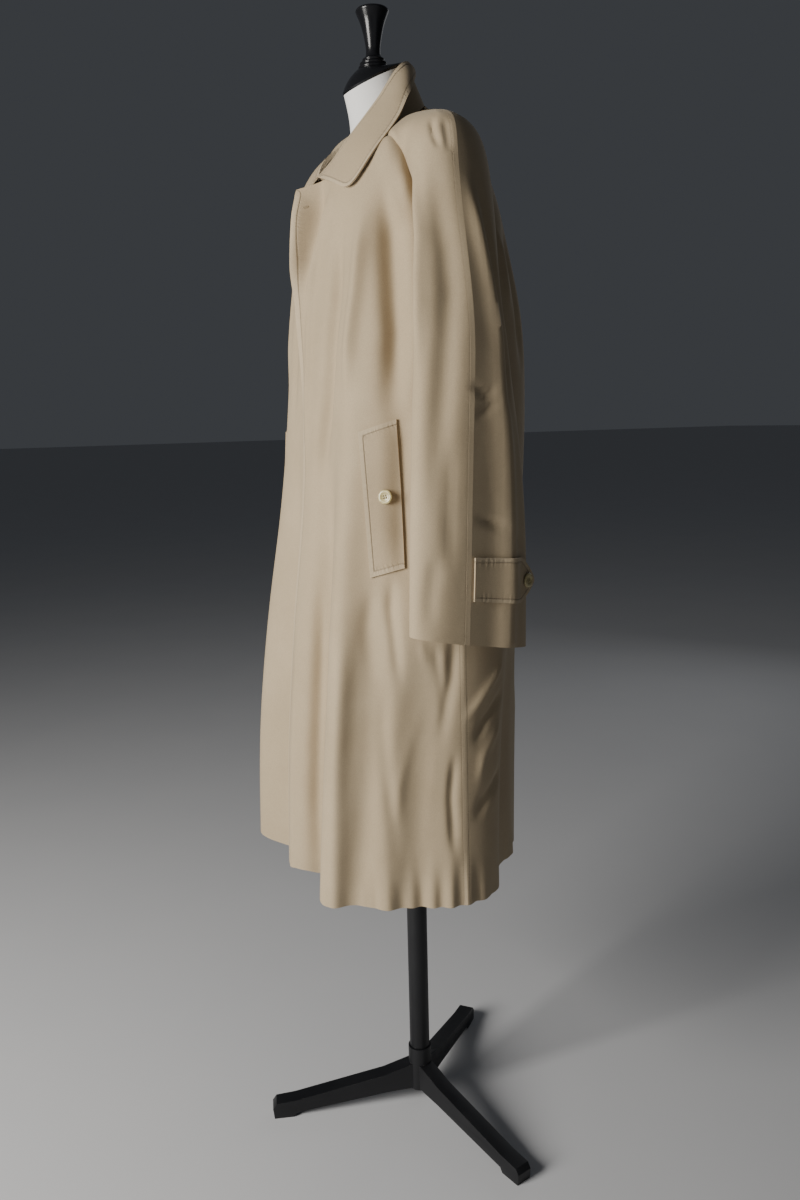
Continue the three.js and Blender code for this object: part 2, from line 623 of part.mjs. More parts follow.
// The collar: one wall that rises from the neckline, folds over and falls to its free edge. Its grid
// runs from the left front end round the nape to the right front end.
function collarSection(station) {
  const right = station > COLLAR_STATIONS;
  const place = right ? 2 * COLLAR_STATIONS - station : station;
  const table = right ? COLLAR_RIGHT : COLLAR_LEFT;
  const row = rowAt(table, (place * (table.length - 1)) / COLLAR_STATIONS);
  const side = right ? -1 : 1;
  const angle = right ? 360 - row.angle : row.angle;
  const neck = bodyPoint(NECKLINE, angle, 0, right ? underlap(angle - 360) : 0);
  const below = bodyPoint(NECKLINE - 0.2, angle, 0, right ? underlap(angle - 360) : 0);
  const rise = neck.clone().sub(below).normalize();
  const outward = vector(neck.x, neck.y - RINGS[NECKLINE].mid, 0).normalize();
  const foot = neck.clone().addScaledVector(rise, 2.4 * SEAM_GAP).addScaledVector(outward, -CLOTH);
  foot.z += 2.5 * SEAM_GAP;
  const roll = vector(side * row.rollX, row.rollY, row.rollZ);
  const edge = vector(side * row.edgeX, row.edgeY, row.edgeZ);
  const inside = roll.clone().addScaledVector(outward, -COLLAR_FOLD);
  inside.z -= COLLAR_FOLD;
  const outside = roll.clone().addScaledVector(outward, COLLAR_FOLD);
  outside.z -= COLLAR_FOLD;
  const bow = outward.clone().multiplyScalar(0.7);
  bow.z = 0.7;
  const fall = (t) => outside.clone().lerp(edge, t).addScaledVector(bow, COLLAR_BELLY * 4 * t * (1 - t));
  return [foot, foot.clone().lerp(inside, 0.5), inside, roll, outside, fall(1 / 3), fall(2 / 3), edge];
}
const collarLines = [];
for (let station = 0; station <= 2 * COLLAR_STATIONS; station += 1) {
  collarLines.push(collarSection(station));
}
place(coat, "collar", clothGeometry(panel(collarLines)), gabardine);

// A point of a piece and its normal, between the points of its grid
function onPiece(piece, row, column) {
  const r = Math.min(Math.floor(row), lastRow(piece) - 1);
  const c = Math.min(Math.floor(column), lastColumn(piece) - 1);
  const blend = (grid) => {
    const low = grid[r][c].clone().lerp(grid[r][c + 1], column - c);
    return low.lerp(grid[r + 1][c].clone().lerp(grid[r + 1][c + 1], column - c), row - r);
  };
  return { point: blend(piece.points), normal: blend(piece.normals).normalize() };
}

// The grid row of the body at a height at the side of the coat
function bodyRowAt(height) {
  let low = 0;
  let high = bodyRows.length - 1;
  while (high - low > 1e-4) {
    const middle = (low + high) / 2;
    const r = Math.min(Math.floor(middle), bodyRows.length - 2);
    const ringPlace = mix(bodyRows[r], bodyRows[r + 1], middle - r);
    if (rowAt(RINGS, ringPlace).zFront < height) {
      low = middle;
    } else {
      high = middle;
    }
  }
  return low;
}

// A spot on one of the fronts, at an angle from the middle and a height
function onFront(piece, side, angle, height) {
  const row = bodyRowAt(height);
  const r = Math.min(Math.floor(row), bodyRows.length - 2);
  const ringPlace = mix(bodyRows[r], bodyRows[r + 1], row - r);
  const start = side > 0 ? -edgeAngle(ringPlace) : -frontSeam(ringPlace);
  const end = side > 0 ? frontSeam(ringPlace) : edgeAngle(ringPlace);
  return onPiece(piece, row, (FRONT_COLUMNS * (side * angle - start)) / (end - start));
}

// A button whose back lies at a spot, facing along the spot's normal
function buttonGeometry({ point, normal }, lift) {
  const { radius, thickness } = BUTTON;
  const outline = [
    [0, 0],
    [radius - 1, 0],
    [radius, thickness * 0.45],
    [radius - 0.8, thickness],
    [radius - 2.2, thickness],
    [radius - 3.4, thickness * 0.7],
    [0, thickness * 0.7],
  ];
  const disc = new THREE.LatheGeometry(outline.map(([x, y]) => new THREE.Vector2(x, y)), 20);
  let body = solid(disc);
  for (const turn of [45, 135, 225, 315]) {
    const drill = new THREE.CylinderGeometry(BUTTON.hole, BUTTON.hole, 3 * thickness, 6);
    const away = BUTTON.holeSpread * Math.SQRT2;
    drill.translate(away * Math.cos(radians(turn)), 0, away * Math.sin(radians(turn)));
    body = body.subtract(solid(drill));
  }
  const geometry = fromSolid(body);
  const turnTo = new THREE.Quaternion().setFromUnitVectors(vector(0, 1, 0), normal);
  const seat = point.clone().addScaledVector(normal, lift);
  return geometry.applyQuaternion(turnTo).translate(seat.x, seat.y, seat.z);
}

function solid(geometry) {
  const bare = geometry.clone();
  bare.deleteAttribute("normal");
  bare.deleteAttribute("uv");
  const merged = mergeVertices(bare, 1e-4);
  const mesh = new wasm.Mesh({
    numProp: 3,
    vertProperties: Float32Array.from(merged.getAttribute("position").array),
    triVerts: Uint32Array.from(merged.getIndex().array),
  });
  return new wasm.Manifold(mesh);
}

function fromSolid(body) {
  const mesh = body.getMesh();
  const geometry = new THREE.BufferGeometry();
  geometry.setAttribute("position", new THREE.BufferAttribute(Float32Array.from(mesh.vertProperties), 3));
  geometry.setIndex(new THREE.BufferAttribute(Uint32Array.from(mesh.triVerts), 1));
  geometry.computeVertexNormals();
  return geometry;
}

// Pocket welts, each made from the points of its front, moved out
const WELT_ROWS = 14;
const WELT_COLUMNS = 7;
function welt(front, side) {
  const lines = [];
  for (let r = 0; r <= WELT_ROWS; r += 1) {
    const up = r / WELT_ROWS;
    const line = [];
    for (let c = 0; c <= WELT_COLUMNS; c += 1) {
      const across = side > 0 ? c / WELT_COLUMNS : 1 - c / WELT_COLUMNS;
      const atFront = mix(WELT.front.bottomAngle, WELT.front.topAngle, up);
      const atRear = mix(WELT.rear.bottomAngle, WELT.rear.topAngle, up);
      const frontHeight = mix(WELT.front.bottom, WELT.front.top, up);
      const rearHeight = mix(WELT.rear.bottom, WELT.rear.top, up);
      const spot = onFront(front, side, mix(atFront, atRear, across), mix(frontHeight, rearHeight, across));
      line.push(spot.point.addScaledVector(spot.normal, 2 * LAY_GAP + WELT.thickness));
    }
    lines.push(line);
  }
  return panel(lines);
}

// Cuff tabs, made from the back piece of a sleeve, moved out. Past the bend a tab runs straight on.
const TAB_ROWS = 4;
const TAB_COLUMNS = 9;
function tabSpot(rear, row, run) {
  let walked = 0;
  let spot = onPiece(rear, row, SLEEVE_COLUMNS);
  const step = 0.05;
  for (let column = SLEEVE_COLUMNS - step; column > 0; column -= step) {
    const next = onPiece(rear, row, column);
    walked += next.point.distanceTo(spot.point);
    if (walked >= Math.min(run, TAB.bend)) {
      const ahead = next.point.clone().sub(spot.point).normalize();
      const extra = Math.max(run - TAB.bend, 0);
      return { point: next.point.clone().addScaledVector(ahead, extra), normal: next.normal };
    }
    spot = next;
  }
  return spot;
}
function cuffTab(rear) {
  const runs = [TAB.tip, TAB.tip - 9, TAB.shoulder];
  for (let part = TAB_COLUMNS; part >= 0; part -= 1) {
    runs.push(mix(TAB.start, TAB.bend, part / TAB_COLUMNS));
  }
  const narrowing = [0.1, 0.5];
  const middle = (TAB.topRow + TAB.bottomRow) / 2;
  const half = (TAB.bottomRow - TAB.topRow) / 2;
  const lines = [];
  for (let r = 0; r <= TAB_ROWS; r += 1) {
    const across = 1 - (2 * r) / TAB_ROWS;
    lines.push(
      runs.map((run, index) => {
        const spot = tabSpot(rear, middle - across * half * (narrowing[index] ?? 1), run);
        return spot.point.clone().addScaledVector(spot.normal, 2 * LAY_GAP + TAB.thickness);
      }),
    );
  }
  return panel(lines);
}

const leftWelt = welt(frontLeft, 1);
const rightWelt = welt(frontRight, -1);
place(coat, "pocket_welt_left", clothGeometry(leftWelt, WELT.thickness), gabardine);
place(coat, "pocket_welt_right", clothGeometry(rightWelt, WELT.thickness), gabardine);
const onWelt = 3 * LAY_GAP + WELT.thickness;
const leftSpot = onFront(frontLeft, 1, WELT.buttonAngle, WELT.buttonHeight);
const rightSpot = onFront(frontRight, -1, WELT.buttonAngle, WELT.buttonHeight);
place(coat, "pocket_button_left", buttonGeometry(leftSpot, onWelt), horn);
place(coat, "pocket_button_right", buttonGeometry(rightSpot, onWelt), horn);

const onTab = 3 * LAY_GAP + TAB.thickness;
const tabRow = (TAB.topRow + TAB.bottomRow) / 2;
place(coat, "cuff_tab_left", clothGeometry(cuffTab(leftSleeve.rear), TAB.thickness), gabardine);
place(coat, "cuff_tab_right", mirrored(clothGeometry(cuffTab(rightSleeve.rear), TAB.thickness)), gabardine);
const leftCuffButton = buttonGeometry(tabSpot(leftSleeve.rear, tabRow, TAB.button), onTab);
const rightCuffButton = buttonGeometry(tabSpot(rightSleeve.rear, tabRow, TAB.button), onTab);
place(coat, "cuff_button_left", leftCuffButton, horn);
place(coat, "cuff_button_right", mirrored(rightCuffButton), horn);

const neckSpot = onFront(frontRight, -1, -NECK_BUTTON.angle, NECK_BUTTON.height);
place(coat, "neck_button", buttonGeometry(neckSpot, LAY_GAP), horn);

// A solid through rings of points, closed by a flat fan at each end
function loft(rings) {
  const count = rings[0].length;
  const positions = [];
  rings.forEach((ring) => ring.forEach((point) => positions.push(...point.toArray())));
  const middleOf = (ring) => ring.reduce((sum, point) => sum.add(point), vector(0, 0, 0)).divideScalar(count);
  positions.push(...middleOf(rings[0]).toArray(), ...middleOf(rings[rings.length - 1]).toArray());
  const bottom = rings.length * count;
  const index = [];
  for (let k = 0; k < count; k += 1) {
    const next = (k + 1) % count;
    for (let r = 0; r < rings.length - 1; r += 1) {
      const low = r * count;
      const high = low + count;
      index.push(low + k, low + next, high + next, low + k, high + next, high + k);
    }
    const top = (rings.length - 1) * count;
    index.push(bottom, next, k, bottom + 1, top + k, top + next);
  }
  const geometry = new THREE.BufferGeometry();
  geometry.setAttribute("position", new THREE.Float32BufferAttribute(positions, 3));
  geometry.setIndex(index);
  geometry.computeVertexNormals();
  return geometry;
}

// The form's body and neck
const FORM_SIDES = 28;
function formRing(ring) {
  const points = [];
  for (let k = 0; k < FORM_SIDES; k += 1) {
    const turn = (2 * Math.PI * k) / FORM_SIDES;
    const sine = Math.sin(turn);
    const cosine = Math.cos(turn);
    const depth = cosine > 0 ? ring.mid - ring.front : ring.back - ring.mid;
    const across = Math.pow(Math.abs(sine) / ring.halfWidth, FORM_SQUARENESS);
    const along = Math.pow(Math.abs(cosine) / depth, FORM_SQUARENESS);
    const reach = Math.pow(across + along, -1 / FORM_SQUARENESS);
    const endHeight = cosine > 0 ? ring.zFront : ring.zBack;
    const z = mix(ring.zSide, endHeight, Math.abs(cosine));
    points.push(vector(reach * sine, ring.mid - reach * cosine, z));
  }
  return points;
}
const shoulderRing = (row, zFront, zBack, front, rear) => {
  const [x, y, z] = SHOULDER_ROWS[row].top;
  return { zFront, zSide: z - CLOTH - SHOULDER_GAP, zBack, halfWidth: x, front, back: rear, mid: y };
};
const shoulders = [
  shoulderRing(2, 1408, 1466, -72, 40),
  shoulderRing(1, 1424, 1484, -74, 22),
  shoulderRing(0, 1434, 1500, -76, 14),
];
place(stand, "form_torso", loft([...FORM, ...shoulders, ...FORM_NECK].map(formRing)), formCloth);

// The cap on the neck's slanted top
const neckTop = FORM_NECK[FORM_NECK.length - 1];
const slant = (neckTop.zBack - neckTop.zFront) / (neckTop.back - neckTop.front);
const CAP_SIDES = 24;
const capRings = CAP_RINGS.map(({ radius, height, level }) => {
  const points = [];
  for (let k = 0; k < CAP_SIDES; k += 1) {
    const turn = (2 * Math.PI * k) / CAP_SIDES;
    const forward = radius * Math.cos(turn);
    const z = neckTop.zSide + SEAM_GAP + height - slant * forward * (1 - level);
    points.push(vector(radius * Math.sin(turn), neckTop.mid - forward, z));
  }
  return points;
});
place(stand, "neck_cap", loft(capRings), lacquer);

// The finial on the cap's level seat
const seatHeight = neckTop.zSide + SEAM_GAP + CAP_RINGS[CAP_RINGS.length - 1].height;
const finialOutline = [[0, 0], ...FINIAL.map(({ radius, height }) => [radius, height])];
finialOutline.push([0, FINIAL[FINIAL.length - 1].height]);
const finial = new THREE.LatheGeometry(finialOutline.map(([x, y]) => new THREE.Vector2(x, y)), 20);
const finialMesh = place(stand, "finial", finial, lacquer);
finialMesh.rotation.x = Math.PI / 2;
finialMesh.position.set(0, neckTop.mid, seatHeight + SEAM_GAP);

// The pole from the cast foot to the form's flat bottom
const poleBottom = HUB.top + SEAM_GAP;
const poleTop = FORM[0].zSide - SEAM_GAP;
const pole = new THREE.CylinderGeometry(POLE_RADIUS, POLE_RADIUS, poleTop - poleBottom, 32);
const poleMesh = place(stand, "pole", pole, blackIron);
poleMesh.rotation.x = Math.PI / 2;
poleMesh.position.z = (poleBottom + poleTop) / 2;

// The cast foot: a hub and three legs in one piece
const hub = new THREE.CylinderGeometry(HUB.radius, HUB.radius, HUB.top - HUB.bottom, 32);
hub.rotateX(Math.PI / 2).translate(0, 0, (HUB.top + HUB.bottom) / 2);
let foot = solid(hub);
const legOutline = new THREE.Shape(LEG_PROFILE.map(({ out, z }) => new THREE.Vector2(out, z)));
for (const angle of LEG_ANGLES) {
  const leg = new THREE.ExtrudeGeometry(legOutline, { depth: LEG_WIDTH, bevelEnabled: false });
  leg.translate(0, 0, -LEG_WIDTH / 2).rotateX(Math.PI / 2).rotateZ(radians(angle));
  foot = foot.add(solid(leg));
}
place(stand, "stand_foot", fromSolid(foot), blackIron);

const carCoat = new THREE.Group();
carCoat.add(coat, stand);

// Centre the whole over the origin
const box = new THREE.Box3().setFromObject(carCoat, true);
carCoat.position.x = -(box.min.x + box.max.x) / 2;
carCoat.position.y = -(box.min.y + box.max.y) / 2;

export default carCoat;
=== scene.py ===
"""A raglan car coat on a limbless dress form with a pole and a cast foot, in metres in the CAD frame."""

import math

import bmesh
import bpy
import numpy as np
from mathutils import Matrix, Vector
from mathutils.bvhtree import BVHTree
from mathutils.kdtree import KDTree


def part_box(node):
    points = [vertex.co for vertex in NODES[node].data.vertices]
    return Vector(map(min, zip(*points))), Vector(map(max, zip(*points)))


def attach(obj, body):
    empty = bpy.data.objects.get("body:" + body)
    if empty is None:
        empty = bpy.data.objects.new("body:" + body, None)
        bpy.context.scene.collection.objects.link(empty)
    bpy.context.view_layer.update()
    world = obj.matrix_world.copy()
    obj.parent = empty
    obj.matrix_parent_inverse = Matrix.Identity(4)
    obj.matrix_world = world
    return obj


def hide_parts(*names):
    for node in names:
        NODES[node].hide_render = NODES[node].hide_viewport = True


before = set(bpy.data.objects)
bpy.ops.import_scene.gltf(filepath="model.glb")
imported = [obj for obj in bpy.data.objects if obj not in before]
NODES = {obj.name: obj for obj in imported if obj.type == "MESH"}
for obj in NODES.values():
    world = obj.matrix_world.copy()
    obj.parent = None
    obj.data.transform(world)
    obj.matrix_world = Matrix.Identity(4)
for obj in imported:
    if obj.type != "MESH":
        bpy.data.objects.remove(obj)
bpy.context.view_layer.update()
MM = 0.001
POLE_Y = sum(corner.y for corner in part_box("pole")) / 2


# camera, floor and lights


def place_camera():
    """The camera stands to the coat's left front at chest height and looks a little down."""
    azimuth, distance, height = math.radians(63), 1.481, 1.103
    pitch, pan, roll = math.radians(10.22), math.radians(-0.58), math.radians(1.37)
    side = Vector((math.cos(azimuth), math.sin(azimuth), 0))
    ahead = Vector((-math.sin(azimuth), math.cos(azimuth), 0))
    up = Vector((0, 0, 1))
    level = ahead * math.cos(pan) + side * math.sin(pan)
    forward = level * math.cos(pitch) - up * math.sin(pitch)
    right = side * math.cos(pan) - ahead * math.sin(pan)
    top = level * math.sin(pitch) + up * math.cos(pitch)
    tilted_right = right * math.cos(roll) - top * math.sin(roll)
    tilted_top = right * math.sin(roll) + top * math.cos(roll)
    data = bpy.data.cameras.new("camera")
    data.lens = 30
    data.sensor_width = 36
    data.clip_start = 0.05
    camera = bpy.data.objects.new("camera", data)
    bpy.context.scene.collection.objects.link(camera)
    turn = Matrix((tilted_right, tilted_top, -forward)).transposed()
    place = Vector((0, POLE_Y, height)) - ahead * distance
    camera.matrix_world = Matrix.Translation(place) @ turn.to_4x4()
    bpy.context.scene.camera = camera


def add_area_light(name, place, target, size, power, colour):
    data = bpy.data.lights.new(name, "AREA")
    data.shape = "RECTANGLE"
    data.size, data.size_y = size
    data.energy = power
    data.color = colour
    light = bpy.data.objects.new(name, data)
    bpy.context.scene.collection.objects.link(light)
    aim = Vector(target) - Vector(place)
    light.matrix_world = Matrix.Translation(place) @ aim.to_track_quat("-Z", "Y").to_matrix().to_4x4()


def light_studio():
    """A soft window before the coat, a weak one beside it and one behind, and a dim room all round."""
    world = bpy.data.worlds.new("studio")
    bpy.context.scene.world = world
    world.use_nodes = True
    background = world.node_tree.nodes["Background"]
    background.inputs["Color"].default_value = (0.84, 0.9, 1.0, 1)
    background.inputs["Strength"].default_value = 0.055
    target = (0, POLE_Y, 0.95)
    add_area_light("key", (0.42, -2.45, 1.4), target, (1.1, 1.4), 114, (1.0, 0.975, 0.93))
    add_area_light("fill", (3.0, -0.2, 1.3), target, (2.0, 2.0), 2, (0.93, 0.96, 1.0))
    add_area_light("rim", (-1.6, 2.6, 1.9), target, (1.2, 2.0), 5, (0.95, 0.97, 1.0))


def lay_floor(material):
    mesh = bpy.data.meshes.new("floor")
    form = bmesh.new()
    bmesh.ops.create_grid(form, x_segments=1, y_segments=1, size=60)
    form.to_mesh(mesh)
    form.free()
    mesh.materials.append(material)
    floor = bpy.data.objects.new("floor", mesh)
    floor.location.z = -0.0005
    bpy.context.scene.collection.objects.link(floor)


place_camera()
light_studio()

# materials


def new_material(name):
    material = bpy.data.materials.new(name)
    material.use_nodes = True
    tree = material.node_tree
    tree.nodes.clear()
    output = tree.nodes.new("ShaderNodeOutputMaterial")
    shader = tree.nodes.new("ShaderNodeBsdfPrincipled")
    tree.links.new(shader.outputs[0], output.inputs["Surface"])
    return material, tree, shader


def add_node(tree, kind, values=(), links=(), **settings):
    """A node with its settings, values for its named inputs and links into them."""
    node = tree.nodes.new(kind)
    for key, value in settings.items():
        setattr(node, key, value)
    for key, value in dict(values).items():
        node.inputs[key].default_value = value
    for key, source in dict(links).items():
        tree.links.new(source, node.inputs[key])
    return node


def mix_colour(tree, factor, first, second, blend="MIX"):
    node = tree.nodes.new("ShaderNodeMix")
    node.data_type = "RGBA"
    node.blend_type = blend
    for slot, value in ((0, factor), (6, first), (7, second)):
        if isinstance(value, bpy.types.NodeSocket):
            tree.links.new(value, node.inputs[slot])
        else:
            node.inputs[slot].default_value = value
    return node.outputs[2]


def new_group(name, inputs, outputs):
    group = bpy.data.node_groups.new(name, "ShaderNodeTree")
    for label, kind, default in inputs:
        socket = group.interface.new_socket(label, in_out="INPUT", socket_type=kind)
        socket.default_value = default
    for label, kind in outputs:
        group.interface.new_socket(label, in_out="OUTPUT", socket_type=kind)
    return group, group.nodes.new("NodeGroupInput").outputs, group.nodes.new("NodeGroupOutput").inputs


def wear_and_highlight_group():
    """Paint rubbed off in specks along the edges that a piece marks, and a painted highlight where the foot
    marks its upward edges more strongly.
    """
    group, given, gives = new_group(
        "worn edges",
        [
            ("Scale", "NodeSocketFloat", 60.0),
            ("From", "NodeSocketFloat", 0.5),
            ("To", "NodeSocketFloat", 0.6),
        ],
        [("Mask", "NodeSocketFloat")],
    )
    place = add_node(group, "ShaderNodeTexCoord").outputs["Object"]
    edge = add_node(
        group,
        "ShaderNodeAttribute",
        attribute_name="wear_and_highlight",
        attribute_type="GEOMETRY",
    ).outputs["Fac"]
    noise = add_node(
        group,
        "ShaderNodeTexNoise",
        {"Detail": 4.0},
        {"Vector": place, "Scale": given["Scale"]},
    )
    ranged = add_node(
        group,
        "ShaderNodeMapRange",
        {},
        {"Value": noise.outputs["Fac"], "From Min": given["From"], "From Max": given["To"]},
    )
    mask = add_node(
        group,
        "ShaderNodeMath",
        {},
        {0: ranged.outputs["Result"], 1: edge},
        operation="MULTIPLY",
    )
    group.links.new(mask.outputs[0], gives["Mask"])
    return group


def twill_group():
    """The diagonal ribs of a twill and the uneven thickness of its yarns."""
    group, given, gives = new_group(
        "twill weave",
        [("Rib", "NodeSocketFloat", 0.0009), ("Slub", "NodeSocketFloat", 900.0)],
        [
            ("Height", "NodeSocketFloat"),
            ("Cloud", "NodeSocketFloat"),
            ("Slubs", "NodeSocketFloat"),
            ("Crinkle", "NodeSocketFloat"),
        ],
    )
    place = add_node(group, "ShaderNodeTexCoord").outputs["Object"]
    split = add_node(group, "ShaderNodeSeparateXYZ", {}, {0: place})
    around = add_node(
        group,
        "ShaderNodeMath",
        {},
        {0: split.outputs[0], 1: split.outputs[1]},
        operation="ADD",
    )
    rise = add_node(group, "ShaderNodeMath", {1: 1.4}, {0: split.outputs[2]}, operation="MULTIPLY")
    run = add_node(group, "ShaderNodeMath", {}, {0: around.outputs[0], 1: rise.outputs[0]}, operation="ADD")
    turns = add_node(group, "ShaderNodeMath", {}, {0: run.outputs[0], 1: given["Rib"]}, operation="DIVIDE")
    phase = add_node(group, "ShaderNodeMath", {1: 2 * math.pi}, {0: turns.outputs[0]}, operation="MULTIPLY")
    rib = add_node(group, "ShaderNodeMath", {}, {0: phase.outputs[0]}, operation="SINE")
    slub = add_node(group, "ShaderNodeTexNoise", {"Detail": 3.0}, {"Vector": place, "Scale": given["Slub"]})
    cloud = add_node(
        group,
        "ShaderNodeTexNoise",
        {"Scale": 7.0, "Detail": 5.0, "Roughness": 0.6},
        {"Vector": place},
    )
    rib_part = add_node(group, "ShaderNodeMath", {1: 0.35}, {0: rib.outputs[0]}, operation="MULTIPLY")
    height = add_node(
        group,
        "ShaderNodeMath",
        {},
        {0: rib_part.outputs[0], 1: slub.outputs["Fac"]},
        operation="ADD",
    )
    tall = add_node(group, "ShaderNodeMapping", {"Scale": (26, 26, 14)}, {"Vector": place})
    crinkle = add_node(
        group,
        "ShaderNodeTexNoise",
        {"Scale": 1.0, "Detail": 2.5, "Roughness": 0.5, "Distortion": 0.3},
        {"Vector": tall.outputs[0]},
    )
    group.links.new(crinkle.outputs["Fac"], gives["Crinkle"])
    group.links.new(height.outputs[0], gives["Height"])
    group.links.new(cloud.outputs["Fac"], gives["Cloud"])
    group.links.new(slub.outputs["Fac"], gives["Slubs"])
    return group


def seam_group():
    """The groove of a stitch line, the puckers that it draws, the raised border outside it, and painted
    shade in the groove.
    """
    group, given, gives = new_group(
        "stitched seam",
        [("Groove", "NodeSocketFloat", 0.8), ("Pucker", "NodeSocketFloat", 5.0)],
        [("Height", "NodeSocketFloat"), ("Line", "NodeSocketFloat"), ("Border", "NodeSocketFloat")],
    )
    seam = add_node(
        group,
        "ShaderNodeAttribute",
        attribute_name="seam",
        attribute_type="GEOMETRY",
    ).outputs["Vector"]
    parts = add_node(group, "ShaderNodeSeparateXYZ", {}, {0: seam}).outputs

    def bell(width):
        share = add_node(
            group,
            "ShaderNodeMath",
            {},
            {0: parts[0], 1: width},
            operation="DIVIDE",
        ).outputs[0]
        square = add_node(
            group,
            "ShaderNodeMath",
            {},
            {0: share, 1: share},
            operation="MULTIPLY",
        ).outputs[0]
        falling = add_node(group, "ShaderNodeMath", {1: -1.0}, {0: square}, operation="MULTIPLY").outputs[0]
        return add_node(group, "ShaderNodeMath", {0: math.e}, {1: falling}, operation="POWER").outputs[0]

    line = bell(given["Groove"])
    along = add_node(group, "ShaderNodeCombineXYZ", {}, {0: parts[1]}).outputs[0]
    ripple = add_node(
        group,
        "ShaderNodeTexNoise",
        {"Scale": 0.2, "Detail": 2.0},
        {"Vector": along},
    ).outputs["Fac"]
    level = add_node(group, "ShaderNodeMath", {1: 0.5}, {0: ripple}, operation="SUBTRACT").outputs[0]
    strong = add_node(group, "ShaderNodeMath", {1: 3.2}, {0: level}, operation="MULTIPLY").outputs[0]
    drawn = add_node(
        group,
        "ShaderNodeMath",
        {},
        {0: strong, 1: bell(given["Pucker"])},
        operation="MULTIPLY",
    ).outputs[0]
    border = add_node(
        group,
        "ShaderNodeMapRange",
        {"From Min": 1.0, "From Max": -0.6, "To Min": 0.0, "To Max": 1.0},
        {"Value": parts[0]},
        interpolation_type="SMOOTHSTEP",
    ).outputs["Result"]
    raised = add_node(group, "ShaderNodeMath", {}, {0: border, 1: drawn}, operation="ADD").outputs[0]
    sunk = add_node(group, "ShaderNodeMath", {}, {0: raised, 1: line}, operation="SUBTRACT").outputs[0]
    height = add_node(group, "ShaderNodeMath", {}, {0: sunk, 1: parts[2]}, operation="MULTIPLY").outputs[0]
    # painted shade: the stitch line's groove is darkened in colour, as strongly as the line is stitched
    shade = add_node(group, "ShaderNodeMath", {}, {0: line, 1: parts[2]}, operation="MULTIPLY").outputs[0]
    pale = add_node(group, "ShaderNodeMath", {}, {0: border, 1: parts[2]}, operation="MULTIPLY").outputs[0]
    group.links.new(height, gives["Height"])
    group.links.new(shade, gives["Line"])
    group.links.new(pale, gives["Border"])
    return group


WEAR_AND_HIGHLIGHT = wear_and_highlight_group()
TWILL = twill_group()
SEAM = seam_group()


def gabardine_material():
    """Khaki cotton twill, paler on its stitched borders, with painted shade darkening the grooves of its
    stitch lines.
    """
    material, tree, shader = new_material("khaki_gabardine")
    weave = add_node(tree, "ShaderNodeGroup", node_tree=TWILL)
    seam = add_node(tree, "ShaderNodeGroup", node_tree=SEAM)
    cloud = add_node(
        tree,
        "ShaderNodeMapRange",
        {"From Min": 0.35, "From Max": 0.65, "To Min": 0.0, "To Max": 1.0},
        {"Value": weave.outputs["Cloud"]},
    ).outputs["Result"]
    base = mix_colour(tree, cloud, (0.37, 0.29, 0.185, 1), (0.41, 0.325, 0.212, 1))
    slubs = add_node(
        tree,
        "ShaderNodeMapRange",
        {"From Min": 0.3, "From Max": 0.7, "To Min": 0.9, "To Max": 1.08},
        {"Value": weave.outputs["Slubs"]},
    ).outputs["Result"]
    flecked = add_node(
        tree,
        "ShaderNodeVectorMath",
        {},
        {0: base, 1: slubs},
        operation="MULTIPLY",
    ).outputs[0]
    border = add_node(
        tree,
        "ShaderNodeMath",
        {1: 0.35},
        {0: seam.outputs["Border"]},
        operation="MULTIPLY",
    ).outputs[0]
    paler = mix_colour(tree, border, flecked, (0.52, 0.43, 0.3, 1))
    # painted shade in the stitch-line grooves, mixed towards a dark brown
    line = add_node(
        tree,
        "ShaderNodeMath",
        {1: 0.6},
        {0: seam.outputs["Line"]},
        operation="MULTIPLY",
    ).outputs[0]
    stitched = mix_colour(tree, line, paler, (0.2, 0.155, 0.1, 1))
    tree.links.new(stitched, shader.inputs["Base Color"])
    sewn = add_node(
        tree,
        "ShaderNodeBump",
        {"Strength": 0.9, "Distance": 0.0006},
        {"Height": seam.outputs["Height"]},
    )
    creased = add_node(
        tree,
        "ShaderNodeBump",
        {"Strength": 0.22, "Distance": 0.003},
        {"Height": weave.outputs["Crinkle"], "Normal": sewn.outputs[0]},
    )
    bump = add_node(
        tree,
        "ShaderNodeBump",
        {"Strength": 0.25, "Distance": 0.0002},
        {"Height": weave.outputs["Height"], "Normal": creased.outputs[0]},
    )
    tree.links.new(bump.outputs[0], shader.inputs["Normal"])
    shader.inputs["Roughness"].default_value = 0.78
    shader.inputs["Specular IOR Level"].default_value = 0.3
    shader.inputs["Sheen Weight"].default_value = 0.18
    shader.inputs["Sheen Roughness"].default_value = 0.45
    shader.inputs["Sheen Tint"].default_value = (0.95, 0.88, 0.75, 1)
    return material


def thread_material():
    material, tree, shader = new_material("khaki_thread")
    place = add_node(tree, "ShaderNodeTexCoord").outputs["Object"]
    noise = add_node(tree, "ShaderNodeTexNoise", {"Scale": 400.0, "Detail": 2.0}, {"Vector": place})
    colour = mix_colour(tree, noise.outputs["Fac"], (0.3, 0.235, 0.145, 1), (0.42, 0.34, 0.225, 1))
    tree.links.new(colour, shader.inputs["Base Color"])
    bump = add_node(
        tree,
        "ShaderNodeBump",
        {"Strength": 0.3, "Distance": 0.0001},
        {"Height": noise.outputs["Fac"]},
    )
    tree.links.new(bump.outputs[0], shader.inputs["Normal"])
    shader.inputs["Roughness"].default_value = 0.6
    return material


